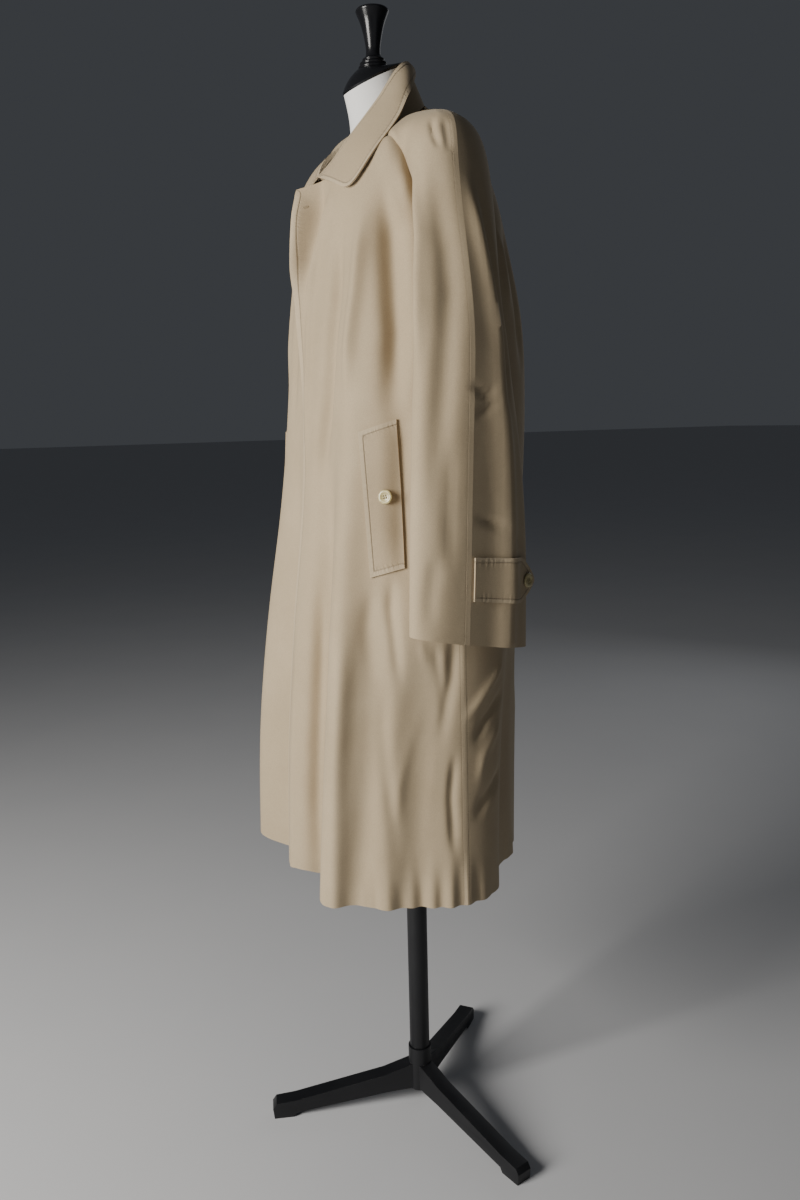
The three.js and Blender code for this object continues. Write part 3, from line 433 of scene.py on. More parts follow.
def horn_material():
    material, tree, shader = new_material("pale_horn")
    place = add_node(tree, "ShaderNodeTexCoord").outputs["Object"]
    stretch = add_node(tree, "ShaderNodeMapping", {"Scale": (60, 60, 220)}, {"Vector": place})
    noise = add_node(
        tree,
        "ShaderNodeTexNoise",
        {"Scale": 1.0, "Detail": 4.0, "Distortion": 1.5},
        {"Vector": stretch.outputs[0]},
    )
    ramp = add_node(tree, "ShaderNodeValToRGB", {}, {"Fac": noise.outputs["Fac"]})
    ramp.color_ramp.elements[0].position = 0.3
    ramp.color_ramp.elements[0].color = (0.3, 0.24, 0.1, 1)
    ramp.color_ramp.elements[1].position = 0.62
    ramp.color_ramp.elements[1].color = (0.56, 0.49, 0.26, 1)
    tree.links.new(ramp.outputs["Color"], shader.inputs["Base Color"])
    bump = add_node(
        tree,
        "ShaderNodeBump",
        {"Strength": 0.08, "Distance": 0.0002},
        {"Height": noise.outputs["Fac"]},
    )
    tree.links.new(bump.outputs[0], shader.inputs["Normal"])
    shader.inputs["Roughness"].default_value = 0.26
    shader.inputs["Coat Weight"].default_value = 0.3
    shader.inputs["Coat Roughness"].default_value = 0.15
    return material


def jersey_material():
    material, tree, shader = new_material("form_jersey")
    weave = add_node(tree, "ShaderNodeGroup", {"Rib": 0.0014, "Slub": 600.0}, node_tree=TWILL)
    colour = mix_colour(tree, weave.outputs["Cloud"], (0.66, 0.65, 0.62, 1), (0.76, 0.755, 0.745, 1))
    tree.links.new(colour, shader.inputs["Base Color"])
    bump = add_node(
        tree,
        "ShaderNodeBump",
        {"Strength": 0.3, "Distance": 0.0003},
        {"Height": weave.outputs["Height"]},
    )
    tree.links.new(bump.outputs[0], shader.inputs["Normal"])
    shader.inputs["Roughness"].default_value = 0.85
    shader.inputs["Sheen Weight"].default_value = 0.15
    return material


def painted_material(name, roughness, wear_and_highlight_colour, scale, edge_from, edge_to):
    """Black paint, lighter where it is rubbed at the edges, with a painted highlight on the foot's upward
    edges.
    """
    material, tree, shader = new_material(name)
    wear_and_highlight = add_node(
        tree,
        "ShaderNodeGroup",
        {"Scale": scale, "From": edge_from, "To": edge_to},
        node_tree=WEAR_AND_HIGHLIGHT,
    )
    place = add_node(tree, "ShaderNodeTexCoord").outputs["Object"]
    dust = add_node(
        tree,
        "ShaderNodeTexNoise",
        {"Scale": 14.0, "Detail": 6.0, "Roughness": 0.7},
        {"Vector": place},
    )
    grain = add_node(tree, "ShaderNodeTexNoise", {"Scale": 350.0, "Detail": 2.0}, {"Vector": place})
    black = mix_colour(tree, dust.outputs["Fac"], (0.005, 0.005, 0.006, 1), (0.011, 0.0115, 0.013, 1))
    colour = mix_colour(tree, wear_and_highlight.outputs["Mask"], black, wear_and_highlight_colour)
    tree.links.new(colour, shader.inputs["Base Color"])
    rough = add_node(
        tree,
        "ShaderNodeMapRange",
        {"From Min": 0.3, "From Max": 0.7, "To Min": roughness - 0.08, "To Max": roughness + 0.12},
        {"Value": dust.outputs["Fac"]},
    )
    tree.links.new(rough.outputs["Result"], shader.inputs["Roughness"])
    shader.inputs["Specular IOR Level"].default_value = 0.35
    bump = add_node(
        tree,
        "ShaderNodeBump",
        {"Strength": 0.12, "Distance": 0.0004},
        {"Height": grain.outputs["Fac"]},
    )
    tree.links.new(bump.outputs[0], shader.inputs["Normal"])
    return material


def floor_material():
    material, tree, shader = new_material("pale_floor")
    place = add_node(tree, "ShaderNodeTexCoord").outputs["Object"]
    noise = add_node(tree, "ShaderNodeTexNoise", {"Scale": 3.0, "Detail": 4.0}, {"Vector": place})
    colour = mix_colour(tree, noise.outputs["Fac"], (0.56, 0.565, 0.58, 1), (0.6, 0.6, 0.61, 1))
    tree.links.new(colour, shader.inputs["Base Color"])
    shader.inputs["Roughness"].default_value = 0.8
    return material


GABARDINE = gabardine_material()
THREAD = thread_material()
HORN = horn_material()
JERSEY = jersey_material()
LACQUER = painted_material("black_lacquer", 0.2, (0.05, 0.045, 0.04, 1), 90.0, 0.5, 0.6)
BLACK_PAINT = painted_material("black_stand_paint", 0.4, (0.42, 0.41, 0.39, 1), 130.0, 0.46, 0.54)
lay_floor(floor_material())

# cloth


def read_vertices(mesh):
    flat = np.empty(len(mesh.vertices) * 3)
    mesh.vertices.foreach_get("co", flat)
    return flat.reshape(-1, 3)


def write_vertices(mesh, points):
    mesh.vertices.foreach_set("co", points.ravel())
    mesh.update()


def add_piece(name, mesh, material, replaced=()):
    mesh.materials.clear()
    mesh.materials.append(material)
    if "custom_normal" in mesh.attributes:
        mesh.attributes.remove(mesh.attributes["custom_normal"])
    mesh.shade_smooth()
    mesh.set_sharp_from_angle(angle=math.radians(40))
    piece = bpy.data.objects.new(name, mesh)
    bpy.context.scene.collection.objects.link(piece)
    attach(piece, "root")
    if replaced:
        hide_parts(*replaced)
    return piece


def quads_of(node):
    """A merged copy of a node's mesh with its triangles joined back into the quads of its grid."""
    form = bmesh.new()
    form.from_mesh(NODES[node].data)
    bmesh.ops.remove_doubles(form, verts=form.verts, dist=1e-5)
    bmesh.ops.join_triangles(
        form,
        faces=form.faces,
        angle_face_threshold=math.radians(60),
        angle_shape_threshold=math.radians(120),
    )
    return form


RIM_TURN = math.radians(50)  # a sharper edge than this is the rim of a cloth wall


def subdivided(form, name, levels):
    """The form smoothed by subdivision, with the rims of its wall kept."""
    crease = form.edges.layers.float.new("crease_edge")
    for edge in form.edges:
        if len(edge.link_faces) == 2 and edge.calc_face_angle() > RIM_TURN:
            edge[crease] = 1.0
    rough = bpy.data.meshes.new(name + "_rough")
    form.to_mesh(rough)
    form.free()
    carrier = bpy.data.objects.new(name + "_rough", rough)
    bpy.context.scene.collection.objects.link(carrier)
    smoother = carrier.modifiers.new("smooth", "SUBSURF")
    smoother.levels = smoother.render_levels = levels
    smoother.boundary_smooth = "PRESERVE_CORNERS"
    depsgraph = bpy.context.evaluated_depsgraph_get()
    mesh = bpy.data.meshes.new_from_object(carrier.evaluated_get(depsgraph))
    mesh.name = name
    bpy.data.objects.remove(carrier)
    bpy.data.meshes.remove(rough)
    for attribute in [a.name for a in mesh.attributes if a.name == "crease_edge"]:
        mesh.attributes.remove(mesh.attributes[attribute])
    return mesh


def split_long_edges(mesh, limit):
    """Cuts each edge that is longer than the limit in three."""
    form = bmesh.new()
    form.from_mesh(mesh)
    long_edges = [edge for edge in form.edges if edge.calc_length() > limit]
    bmesh.ops.subdivide_edges(form, edges=long_edges, cuts=2, use_grid_fill=True)
    form.to_mesh(mesh)
    form.free()
    return mesh


FRONT_LEFT = ("front_left", "pocket_welt_left", "pocket_button_left")
FRONT_RIGHT = ("front_right", "pocket_welt_right", "pocket_button_right")
BACK = ("back",)
SIDE_LEFT = FRONT_LEFT + BACK
SIDE_RIGHT = FRONT_RIGHT + BACK
SLEEVE_LEFT = ("sleeve_left_front", "sleeve_left_back", "cuff_tab_left", "cuff_button_left")
SLEEVE_RIGHT = ("sleeve_right_front", "sleeve_right_back", "cuff_tab_right", "cuff_button_right")
SHOULDER_LEFT = ("front_left", "sleeve_left_front")
# where the left front laps over the right one, both go in together
OPEN_TOP = FRONT_LEFT + ("front_right", "neck_button")
BODY_PIECES = ("front_left", "front_right", "back")
SLEEVE_PIECES = ("sleeve_left_front", "sleeve_left_back", "sleeve_right_front", "sleeve_right_back")
FINE_PIECES = ("collar", "pocket_welt_left", "pocket_welt_right", "cuff_tab_left", "cuff_tab_right")

# The main creases: the pieces that each one runs over, places along its middle, its half-width and its
# height, all in millimetres. A negative height is a trough. It dies out at both ends.
CREASES = [
    # the raglan seam's upper end lies nearly flush with the chest
    (SHOULDER_LEFT, [(92, -62, 1462), (104, -58, 1452), (117, -53, 1440), (131, -51, 1418),
     (146, -50, 1390), (160, -50, 1335)], 20, 17),
    (SHOULDER_LEFT, [(128, -52, 1458), (152, -56, 1442), (176, -60, 1416), (200, -64, 1372)], 17, -10),
    # chest and open top of the left front
    (FRONT_LEFT, [(129, -54, 1424), (136, -60, 1392), (139, -65, 1356), (145, -69, 1313), (154, -72, 1263),
     (162, -73, 1214),
     (163, -78, 1153), (160, -85, 1070)], 17, -19),
    (FRONT_LEFT, [(133, -60, 1416), (143, -63, 1373), (151, -66, 1324), (162, -70, 1262), (169, -72, 1201),
     (173, -75, 1130)], 8, 7),
    (FRONT_LEFT, [(112, -87, 1387), (111, -95, 1328), (113, -104, 1267), (111, -114, 1205),
     (110, -123, 1115)], 12, 11),
    (OPEN_TOP, [(69, -100, 1388), (69, -108, 1322), (70, -116, 1259), (58, -124, 1157), (39, -126, 1078),
     (25, -132, 970)], 13, -12),
    (OPEN_TOP, [(9, -104, 1387), (4, -113, 1319), (2, -120, 1266), (1, -127, 1187), (-8, -130, 1105),
     (-16, -133, 1030)], 8, 5),
    (OPEN_TOP, [(3, -97, 1430), (2, -101, 1411), (0, -106, 1391), (-3, -113, 1362), (-8, -122, 1331),
     (-14, -133, 1270)], 14, -8),
    (("front_left",), [(-24, -110, 1440), (-24, -119, 1400), (-24, -124, 1360), (-25, -129, 1320),
     (-26, -134, 1260)], 13, 7),
    (OPEN_TOP, [(38, -99, 1412), (32, -101, 1397), (24, -104, 1374), (15, -109, 1343), (4, -115, 1306),
     (-3, -122, 1255)], 9, 6),
    # skirt of the left front
    (OPEN_TOP, [(31, -131, 913), (28, -138, 798), (23, -144, 680), (18, -150, 558),
     (15, -152, 446)], 9, -6),
    (FRONT_LEFT, [(-13, -152, 851), (-11, -162, 734), (-14, -171, 614), (-23, -176, 446)], 9, 3),
    (FRONT_LEFT, [(158, -114, 930), (163, -120, 820), (160, -128, 714), (156, -136, 603),
     (150, -144, 446)], 26, -10),
    (FRONT_LEFT, [(132, -140, 860), (134, -148, 760), (132, -156, 650), (128, -164, 446)], 14, 7),
    (SIDE_LEFT, [(198, -64, 860), (199, -70, 700), (198, -72, 560), (196, -76, 446)], 42, -12),
    (FRONT_LEFT, [(180, -74, 1150), (184, -80, 1010), (190, -80, 870)], 20, -13),
    (FRONT_LEFT, [(176, -94, 915), (176, -98, 861), (181, -96, 809), (187, -91, 740)], 8, -7),
    (FRONT_LEFT, [(198, -67, 830), (202, -58, 775), (205, -47, 710)], 5, 5),
    (SIDE_LEFT, [(204, -49, 820), (206, -42, 767), (208, -35, 710)], 6, -5),
    (SIDE_LEFT, [(209, -21, 840), (209, -25, 765), (208, -35, 718), (205, -47, 660)], 8, -6),
    (FRONT_LEFT, [(202, -56, 760), (193, -79, 680), (186, -95, 619), (181, -106, 530)], 9, 5),
    (FRONT_LEFT, [(175, -106, 790), (172, -114, 701), (177, -111, 633), (183, -104, 563),
     (185, -99, 490)], 10, -5),
    (FRONT_LEFT, [(161, -118, 840), (155, -134, 686), (148, -146, 573), (143, -153, 470)], 15, 4),
    (FRONT_LEFT, [(158, -114, 895), (155, -123, 834), (162, -120, 750)], 9, -4),
    (SIDE_LEFT, [(204, -49, 690), (201, -58, 603), (199, -66, 510)], 8, 4),
    (SIDE_LEFT, [(210, -22, 670), (209, -29, 600), (210, -25, 510)], 6, -7),
    # the back, behind the left side seam
    (SIDE_LEFT, [(190, 62, 795), (197, 56, 772), (207, 28, 743), (210, 3, 717), (209, -12, 700)], 6, 5),
    (BACK, [(190, 64, 745), (195, 57, 729), (208, 23, 700), (210, 4, 665)], 7, -6),
    (BACK, [(192, 60, 705), (199, 49, 685), (208, 22, 653), (209, 12, 605)], 7, 4),
    (SIDE_LEFT, [(189, 60, 634), (193, 54, 614), (208, 22, 589), (210, 3, 560)], 8, -6),
    # left sleeve
    (SLEEVE_LEFT, [(192, -40, 1452), (200, -41, 1437), (218, -47, 1399), (237, -50, 1350), (252, -50, 1297),
     (261, -52, 1251),
     (266, -61, 1194), (272, -71, 1125), (276, -79, 1055), (279, -85, 960)], 15, -8),
    (SLEEVE_LEFT, [(175, -55, 1430), (200, -61, 1373), (225, -71, 1317), (239, -81, 1241),
     (246, -90, 1130)], 9, 7),
    (SLEEVE_LEFT, [(190, -34, 1463), (195, -36, 1458), (209, -41, 1438), (221, -37, 1412)], 4, -3.5),
    (SLEEVE_LEFT, [(204, -23, 1462), (218, -27, 1435), (225, -29, 1408)], 5, -2.5),
    (SLEEVE_LEFT, [(232, -10, 1400), (238, -8, 1380), (249, -3, 1317), (257, 4, 1265), (265, 12, 1200),
     (270, 11, 1110)], 10, 8),
    (SLEEVE_LEFT, [(268, 9, 1210), (272, 11, 1140), (277, 14, 1050), (281, 16, 960), (283, 16, 880),
     (284, 14, 825)], 15, 10),
    (SLEEVE_LEFT, [(226, 6, 1402), (230, 8, 1384), (242, 17, 1314), (245, 27, 1255), (254, 31, 1196),
     (269, 23, 1123), (270, 24, 1060)], 8, -7),
    (SLEEVE_LEFT, [(279, -32, 1150), (278, -25, 1138), (277, -12, 1127), (272, 7, 1153)], 4, -3),
    (SLEEVE_LEFT, [(280, -26, 1098), (279, -18, 1110), (278, -6, 1118), (273, 12, 1134)], 4, -3),
    (SLEEVE_LEFT, [(286, -38, 987), (286, -31, 983), (285, -6, 976), (280, 16, 962),
     (266, 48, 938)], 5, -4),
    (SLEEVE_LEFT, [(282, -63, 1085), (284, -69, 996), (286, -70, 915)], 8, -2.5),
    (SLEEVE_LEFT, [(281, -86, 950), (279, -94, 889), (279, -98, 835)], 9, -3),
    # right sleeve, out of the photo's sight
    (SLEEVE_RIGHT, [(-178, -30, 1452), (-202, -37, 1400), (-226, -38, 1345), (-243, -36, 1290),
     (-255, -33, 1230), (-262, -38, 1160), (-268, -46, 1080), (-271, -52, 1000)], 12, -8),
    (SLEEVE_RIGHT, [(-172, -42, 1428), (-202, -46, 1370), (-224, -50, 1310), (-238, -54, 1235),
     (-246, -58, 1160)], 8, 4),
    (SLEEVE_RIGHT, [(-205, 4, 1458), (-214, 2, 1436), (-222, -1, 1410)], 5, -3),
    (SLEEVE_RIGHT, [(-231, 22, 1372), (-243, 32, 1310), (-252, 40, 1250), (-262, 44, 1190)], 8, -6),
    (SLEEVE_RIGHT, [(-238, 6, 1360), (-250, 14, 1300), (-258, 22, 1235), (-266, 28, 1180)], 7, 4),
    (SLEEVE_RIGHT, [(-278, 10, 1120), (-277, 22, 1108), (-270, 40, 1124)], 5, -4),
    (SLEEVE_RIGHT, [(-281, -10, 1068), (-280, 6, 1058), (-274, 26, 1070)], 4, -3),
    (SLEEVE_RIGHT, [(-287, -14, 1000), (-286, 10, 986), (-278, 40, 968)], 5, -4),
    # right front
    (FRONT_RIGHT, [(-124, -66, 1415), (-132, -74, 1362), (-139, -80, 1305), (-148, -84, 1240),
     (-156, -86, 1172), (-158, -92, 1100)], 12, -8),
    (FRONT_RIGHT, [(-98, -95, 1370), (-103, -103, 1300), (-106, -110, 1220), (-104, -118, 1140)], 10, 4),
    (FRONT_RIGHT, [(-60, -112, 1360), (-62, -118, 1280), (-66, -124, 1180), (-74, -126, 1080)], 10, -4),
    (FRONT_RIGHT, [(-178, -92, 900), (-182, -92, 830), (-190, -86, 760), (-193, -80, 690)], 9, -6),
    (FRONT_RIGHT, [(-196, -66, 790), (-200, -56, 720), (-203, -48, 640)], 7, 4),
    (FRONT_RIGHT, [(-168, -112, 760), (-174, -110, 680), (-180, -106, 600), (-184, -100, 520)], 10, -6),
    (SIDE_RIGHT, [(-208, -20, 820), (-209, -28, 740), (-207, -38, 670)], 8, -6),
    # the rest of the back
    (BACK, [(60, 158, 1420), (72, 166, 1360), (82, 168, 1290), (92, 160, 1200), (100, 148, 1090)], 14, -6),
    (BACK, [(130, 118, 1380), (140, 122, 1310), (148, 122, 1240), (152, 116, 1150)], 12, -7),
    (BACK, [(154, 92, 1360), (162, 96, 1300), (168, 92, 1230)], 8, 4),
    (BACK, [(20, 168, 1400), (26, 172, 1320), (28, 170, 1230), (24, 162, 1120)], 13, 4),
    (BACK, [(-24, 166, 1410), (-34, 172, 1340), (-42, 170, 1250), (-46, 160, 1150),
     (-44, 152, 1050)], 14, -5),
    (BACK, [(-84, 156, 1390), (-94, 160, 1320), (-102, 156, 1240), (-108, 144, 1130)], 12, 5),
    (BACK, [(-126, 120, 1370), (-138, 124, 1300), (-146, 122, 1230), (-150, 112, 1140),
     (-152, 108, 1060)], 12, -8),
    (BACK, [(-60, 150, 900), (-74, 150, 800), (-80, 152, 700), (-88, 150, 600)], 15, -5),
    (BACK, [(10, 152, 880), (4, 152, 780), (-6, 152, 680), (-8, 152, 560)], 13, 4),
    (BACK, [(96, 140, 940), (84, 146, 850), (70, 152, 760), (66, 154, 660)], 14, -5),
    (BACK, [(-178, 66, 860), (-190, 60, 790), (-200, 44, 730)], 8, -5),
    (BACK, [(-184, 62, 720), (-196, 50, 680), (-204, 30, 640)], 8, 4),
    (BACK, [(130, 106, 1010), (150, 96, 960), (170, 84, 920)], 9, -4),
    (BACK, [(-40, 156, 1010), (-4, 160, 990), (38, 158, 1004)], 10, -3),
]
HEM_HEIGHT, CUFF_HEIGHT = 446, 825
PUCKER_WIDTH = 6.5
# Puckers along the hem: turn from the front in degrees, length up from the hem and depth in millimetres
HEM_PUCKERS = [
    (30, 26, 1.2), (37, 30, -1.6), (43, 22, 1.4), (48, 34, -2.2), (53, 40, 2.0), (57, 26, -2.4),
    (61.5, 44, 2.6),
    (65, 30, -2.6), (69, 48, 2.4), (72.5, 34, -3.0), (76, 52, 2.6), (79.5, 40, -2.8), (83, 46, 2.4),
    (86.5, 36, -3.0),
    (90, 30, 1.8), (95, 38, -2.2), (101, 30, 1.6), (109, 36, -2.0), (117, 28, 1.8), (126, 34, -1.6),
    (137, 30, 1.8),
    (149, 26, -1.4), (161, 32, 1.6), (172, 28, -1.8), (186, 34, 1.6), (197, 26, -1.4), (208, 30, 1.8),
    (221, 36, -1.8),
    (232, 28, 1.6), (244, 34, -2.0), (253, 26, 1.8), (262, 38, -2.4), (268, 30, 2.0), (274, 40, -2.4),
    (281, 28, 1.8),
    (288, 34, -2.0), (296, 26, 1.6), (306, 30, -1.4), (318, 26, 1.2),
]


def nodes_tree(names):
    """The outer faces of some CAD nodes, to lay things on."""
    points, faces = [], []
    for name in names:
        mesh = NODES[name].data
        start = len(points)
        points += [vertex.co.copy() for vertex in mesh.vertices]
        for face in mesh.polygons:
            faces.append([start + index for index in face.vertices])
    return BVHTree.FromPolygons(points, faces)


TREES = {}


def sleeve_middle(side, height):
    """The middle of a sleeve at a height in millimetres. Above the armhole it leans in towards the neck."""
    above = max(0.0, height - 1200)
    return Vector(
        (side * (240 - 0.35 * above) * MM, (-22 if side > 0 else 2) * MM, (height - 0.3 * above) * MM),
    )


def along_line(places, pieces):
    """A crease's places and the cloth's outward direction at each, laid on its pieces."""
    if pieces not in TREES:
        TREES[pieces] = nodes_tree([name for name in pieces if name in BODY_PIECES + SLEEVE_PIECES])
    feet, outward = [], []
    for place in places:
        centre = Vector((0, POLE_Y, place[2] * MM))
        if pieces in (SLEEVE_LEFT, SLEEVE_RIGHT):
            side = 1 if pieces is SLEEVE_LEFT else -1
            centre = sleeve_middle(side, place[2])
        else:
            centre.z = min(centre.z, 1.3)
        start = Vector(place) * MM
        away = (start - centre).normalized()
        hit = TREES[pieces].ray_cast(start + away * 0.06, -away, 0.12)
        if hit[0] is None:
            hit = TREES[pieces].find_nearest(start)
        normal = hit[1] if hit[1].dot(away) > 0 else -hit[1]
        feet.append(hit[0])
        outward.append((normal + away).normalized())
    return np.array([list(foot) for foot in feet]), np.array([list(way) for way in outward])


def smoothstep(value):
    value = np.clip(value, 0, 1)
    return value * value * (3 - 2 * value)


def press_crease(points, feet, outward, half_width, height, reaches_edge):
    """Moves the points near a line out or in, most at its middle and not at its ends."""
    reach = 3 * half_width
    low, high = feet.min(axis=0) - reach, feet.max(axis=0) + reach
    near = np.flatnonzero(np.all((points > low) & (points < high), axis=1))
    if not len(near):
        return
    lengths = np.linalg.norm(np.diff(feet, axis=0), axis=1)
    starts = np.concatenate(([0], np.cumsum(lengths)))
    best = np.full(len(near), np.inf)
    run = np.zeros(len(near))
    way = np.zeros((len(near), 3))
    for index, length in enumerate(lengths):
        span = feet[index + 1] - feet[index]
        part = np.clip(((points[near] - feet[index]) @ span) / length**2, 0, 1)
        gap = np.linalg.norm(points[near] - feet[index] - part[:, None] * span, axis=1)
        closer = gap < best
        best[closer] = gap[closer]
        run[closer] = (starts[index] + part * length)[closer]
        turned = outward[index] + part[:, None] * (outward[index + 1] - outward[index])
        way[closer] = turned[closer]
    share = run / starts[-1]
    fade = smoothstep(share / 0.3)
    if not reaches_edge:
        fade *= smoothstep((1 - share) / 0.35)
    amount = height * fade * np.exp(-((best / half_width) ** 2))
    points[near] += amount[:, None] * way


def press_creases(name, points):
    """The creases that run over one piece. One that ends at the hem or the cuff runs off it undiminished."""
    for pieces, places, half_width, height in CREASES:
        if name in pieces:
            feet, outward = along_line(places, pieces)
            lowest = places[-1][2]
            reaches_edge = lowest < HEM_HEIGHT + 4 or abs(lowest - CUFF_HEIGHT) < 5
            press_crease(points, feet, outward, half_width * MM, height * MM, reaches_edge)


def press_hem(points):
    turn = np.degrees(np.arctan2(points[:, 0], -(points[:, 1] - POLE_Y))) % 360
    up = points[:, 2] - HEM_HEIGHT * MM
    radius = np.hypot(points[:, 0], points[:, 1] - POLE_Y)
    way = np.stack((points[:, 0], points[:, 1] - POLE_Y, np.zeros(len(points))), axis=1) / radius[:, None]
    for angle, length, depth in HEM_PUCKERS:
        away = np.radians(turn - angle) * radius
        bell = np.exp(-((away / (PUCKER_WIDTH * MM)) ** 2)) * smoothstep(1 - up / (2 * length * MM))
        points += (bell * depth * MM)[:, None] * way


def press_cloth(name, mesh):
    points = read_vertices(mesh)
    rest = points.copy()
    press_creases(name, points)
    if name in BODY_PIECES:
        press_hem(points)
    write_vertices(mesh, points)
    return rest


cloth = {}
for name in BODY_PIECES + SLEEVE_PIECES:
    cloth[name] = split_long_edges(subdivided(quads_of(name), name, 2), 8 * MM)
for name in FINE_PIECES:
    cloth[name] = split_long_edges(subdivided(quads_of(name), name, 2), 6 * MM)


def surface_of(mesh):
    """The faces of a mesh, to find the nearest place on them."""
    points = [list(place) for place in read_vertices(mesh)]
    return BVHTree.FromPolygons(points, [list(face.vertices) for face in mesh.polygons])


def close_seams():
    """Sewn rims meet: each goes most of the way to the middle of the narrow gap between them."""
    sewn = BODY_PIECES + SLEEVE_PIECES
    places = {name: read_vertices(cloth[name]) for name in sewn}
    trees = {name: surface_of(cloth[name]) for name in sewn}
    for name in sewn:
        moved = places[name].copy()
        for other in sewn:
            if other == name or {name, other} == {"front_left", "front_right"}:
                continue
            for index, place in enumerate(places[name]):
                nearest = trees[other].find_nearest(Vector(place), 1.2 * MM)[0]
                if nearest is not None:
                    moved[index] = place + 0.42 * (np.array(nearest) - place)
        write_vertices(cloth[name], moved)


close_seams()

# seams and stitches


def rim_points(mesh):
    """Places along the rims of a cloth wall, with the turn from the front and the height of each."""
    form = bmesh.new()
    form.from_mesh(mesh)
    places = []
    for edge in form.edges:
        if len(edge.link_faces) == 2 and edge.calc_face_angle() > RIM_TURN:
            a, b = (vertex.co for vertex in edge.verts)
            steps = max(1, round((b - a).length / (2 * MM)))
            places += [list(a.lerp(b, (step + 0.5) / steps)) for step in range(steps)]
    form.free()
    return np.array(places)


def tree_of(places):
    tree = KDTree(len(places))
    for index, place in enumerate(places):
        tree.insert(place, index)
    tree.balance()
    return tree


def near_to(places, tree, gap):
    return np.array([tree.find(place)[2] < gap for place in places])


RIMS = {name: rim_points(mesh) for name, mesh in cloth.items()}
RIM_TREES = {name: tree_of(places) for name, places in RIMS.items()}
NECK_Y = -17 * MM


def shared_rim(name, other):
    places = RIMS[name]
    return places[near_to(places, RIM_TREES[other], 1.6 * MM)]


def top_seam(side, half, other):
    """The seam down the outside of a sleeve, without the underarm's."""
    places = shared_rim("sleeve_%s_%s" % (side, half), "sleeve_%s_%s" % (side, other))
    outer, above_armhole = 245 * MM, 1270 * MM
    return places[(np.abs(places[:, 0]) > outer) | (places[:, 2] > above_armhole)]


def front_edge(name, turned):
    """The upright edge of a front, between the hem and the open top."""
    places = RIMS[name]
    above_hem, below_top = 452 * MM, 1405 * MM
    turn = np.degrees(np.arctan2(places[:, 0], -(places[:, 1] - POLE_Y))) * turned
    return places[(turn < -2) & (turn > -40) & (places[:, 2] > above_hem) & (places[:, 2] < below_top)]


def collar_edge():
    """The collar's free edges, away from the neckline that it is sewn to."""
    sewn = np.concatenate([RIMS[name] for name in BODY_PIECES + SLEEVE_PIECES])
    high = sewn[sewn[:, 2] > 1400 * MM]
    neckline = np.array([place for place in high if math.hypot(place[0], place[1] - NECK_Y) < 88 * MM])
    places = RIMS["collar"]
    return places[~near_to(places, tree_of(neckline), 9 * MM)]


def border_without(name, low_side):
    """The rims of a welt or tab but the one that lies at the low or the high end of y."""
    low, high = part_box(name)
    places = RIMS[name]
    if low_side:
        return places[places[:, 1] > low.y + 4 * MM]
    return places[places[:, 1] < high.y - 2.5 * MM]


# Stitch lines: piece, the rim that each follows, its distance from it in millimetres, and how much it
# raises and pales the border outside it
STITCH_LINES = [
    ("front_left", front_edge("front_left", 1), 9.0, 0.9),
    ("front_right", front_edge("front_right", -1), 9.0, 0.9),
    ("front_left", shared_rim("front_left", "back"), 4.5, 0.5),
    ("front_right", shared_rim("front_right", "back"), 4.5, 0.5),
    ("back", shared_rim("back", "front_left"), 4.5, 0.5),
    ("back", shared_rim("back", "front_right"), 4.5, 0.5),
    ("sleeve_left_front", top_seam("left", "front", "back"), 6.5, 0.3),
    ("sleeve_right_front", top_seam("right", "front", "back"), 6.5, 0.3),
    ("collar", collar_edge(), 5.0, 1.0),
    ("pocket_welt_left", border_without("pocket_welt_left", False), 6.5, 1.0),
    ("pocket_welt_right", border_without("pocket_welt_right", False), 6.5, 1.0),
    ("cuff_tab_left", border_without("cuff_tab_left", True), 5.5, 1.0),
    ("cuff_tab_right", border_without("cuff_tab_right", True), 5.5, 1.0),
]


def seam_values(name, points):
    """How far each point lies from its nearest stitch line, its run along it and that line's strength."""
    values = np.tile((60.0, 0.0, 0.0), (len(points), 1))
    for piece, rim, offset, strength in STITCH_LINES:
        if piece != name or not len(rim):
            continue
        tree = tree_of(rim)
        for index, point in enumerate(points):
            place, _, gap = tree.find(point)
            away = gap / MM - offset
            if abs(away) < abs(values[index, 0]):
                values[index] = (away, (place.x + place.y + place.z) / MM, strength)
    return values


def outward_sign(name, centre, normal):
    if name.startswith(("sleeve", "cuff")):
        side = 1 if "left" in name else -1
        drop = max(0.0, centre.z - 1.2)
        middle = Vector((side * (0.24 - 0.35 * drop), -0.022 if side > 0 else 0.002, centre.z - 0.3 * drop))
    elif name == "collar":
        middle = Vector((0, -0.017, centre.z - 0.02))
    else:
        middle = Vector((0, POLE_Y, min(centre.z, 1.3)))
    return normal.dot(centre - middle) > 0


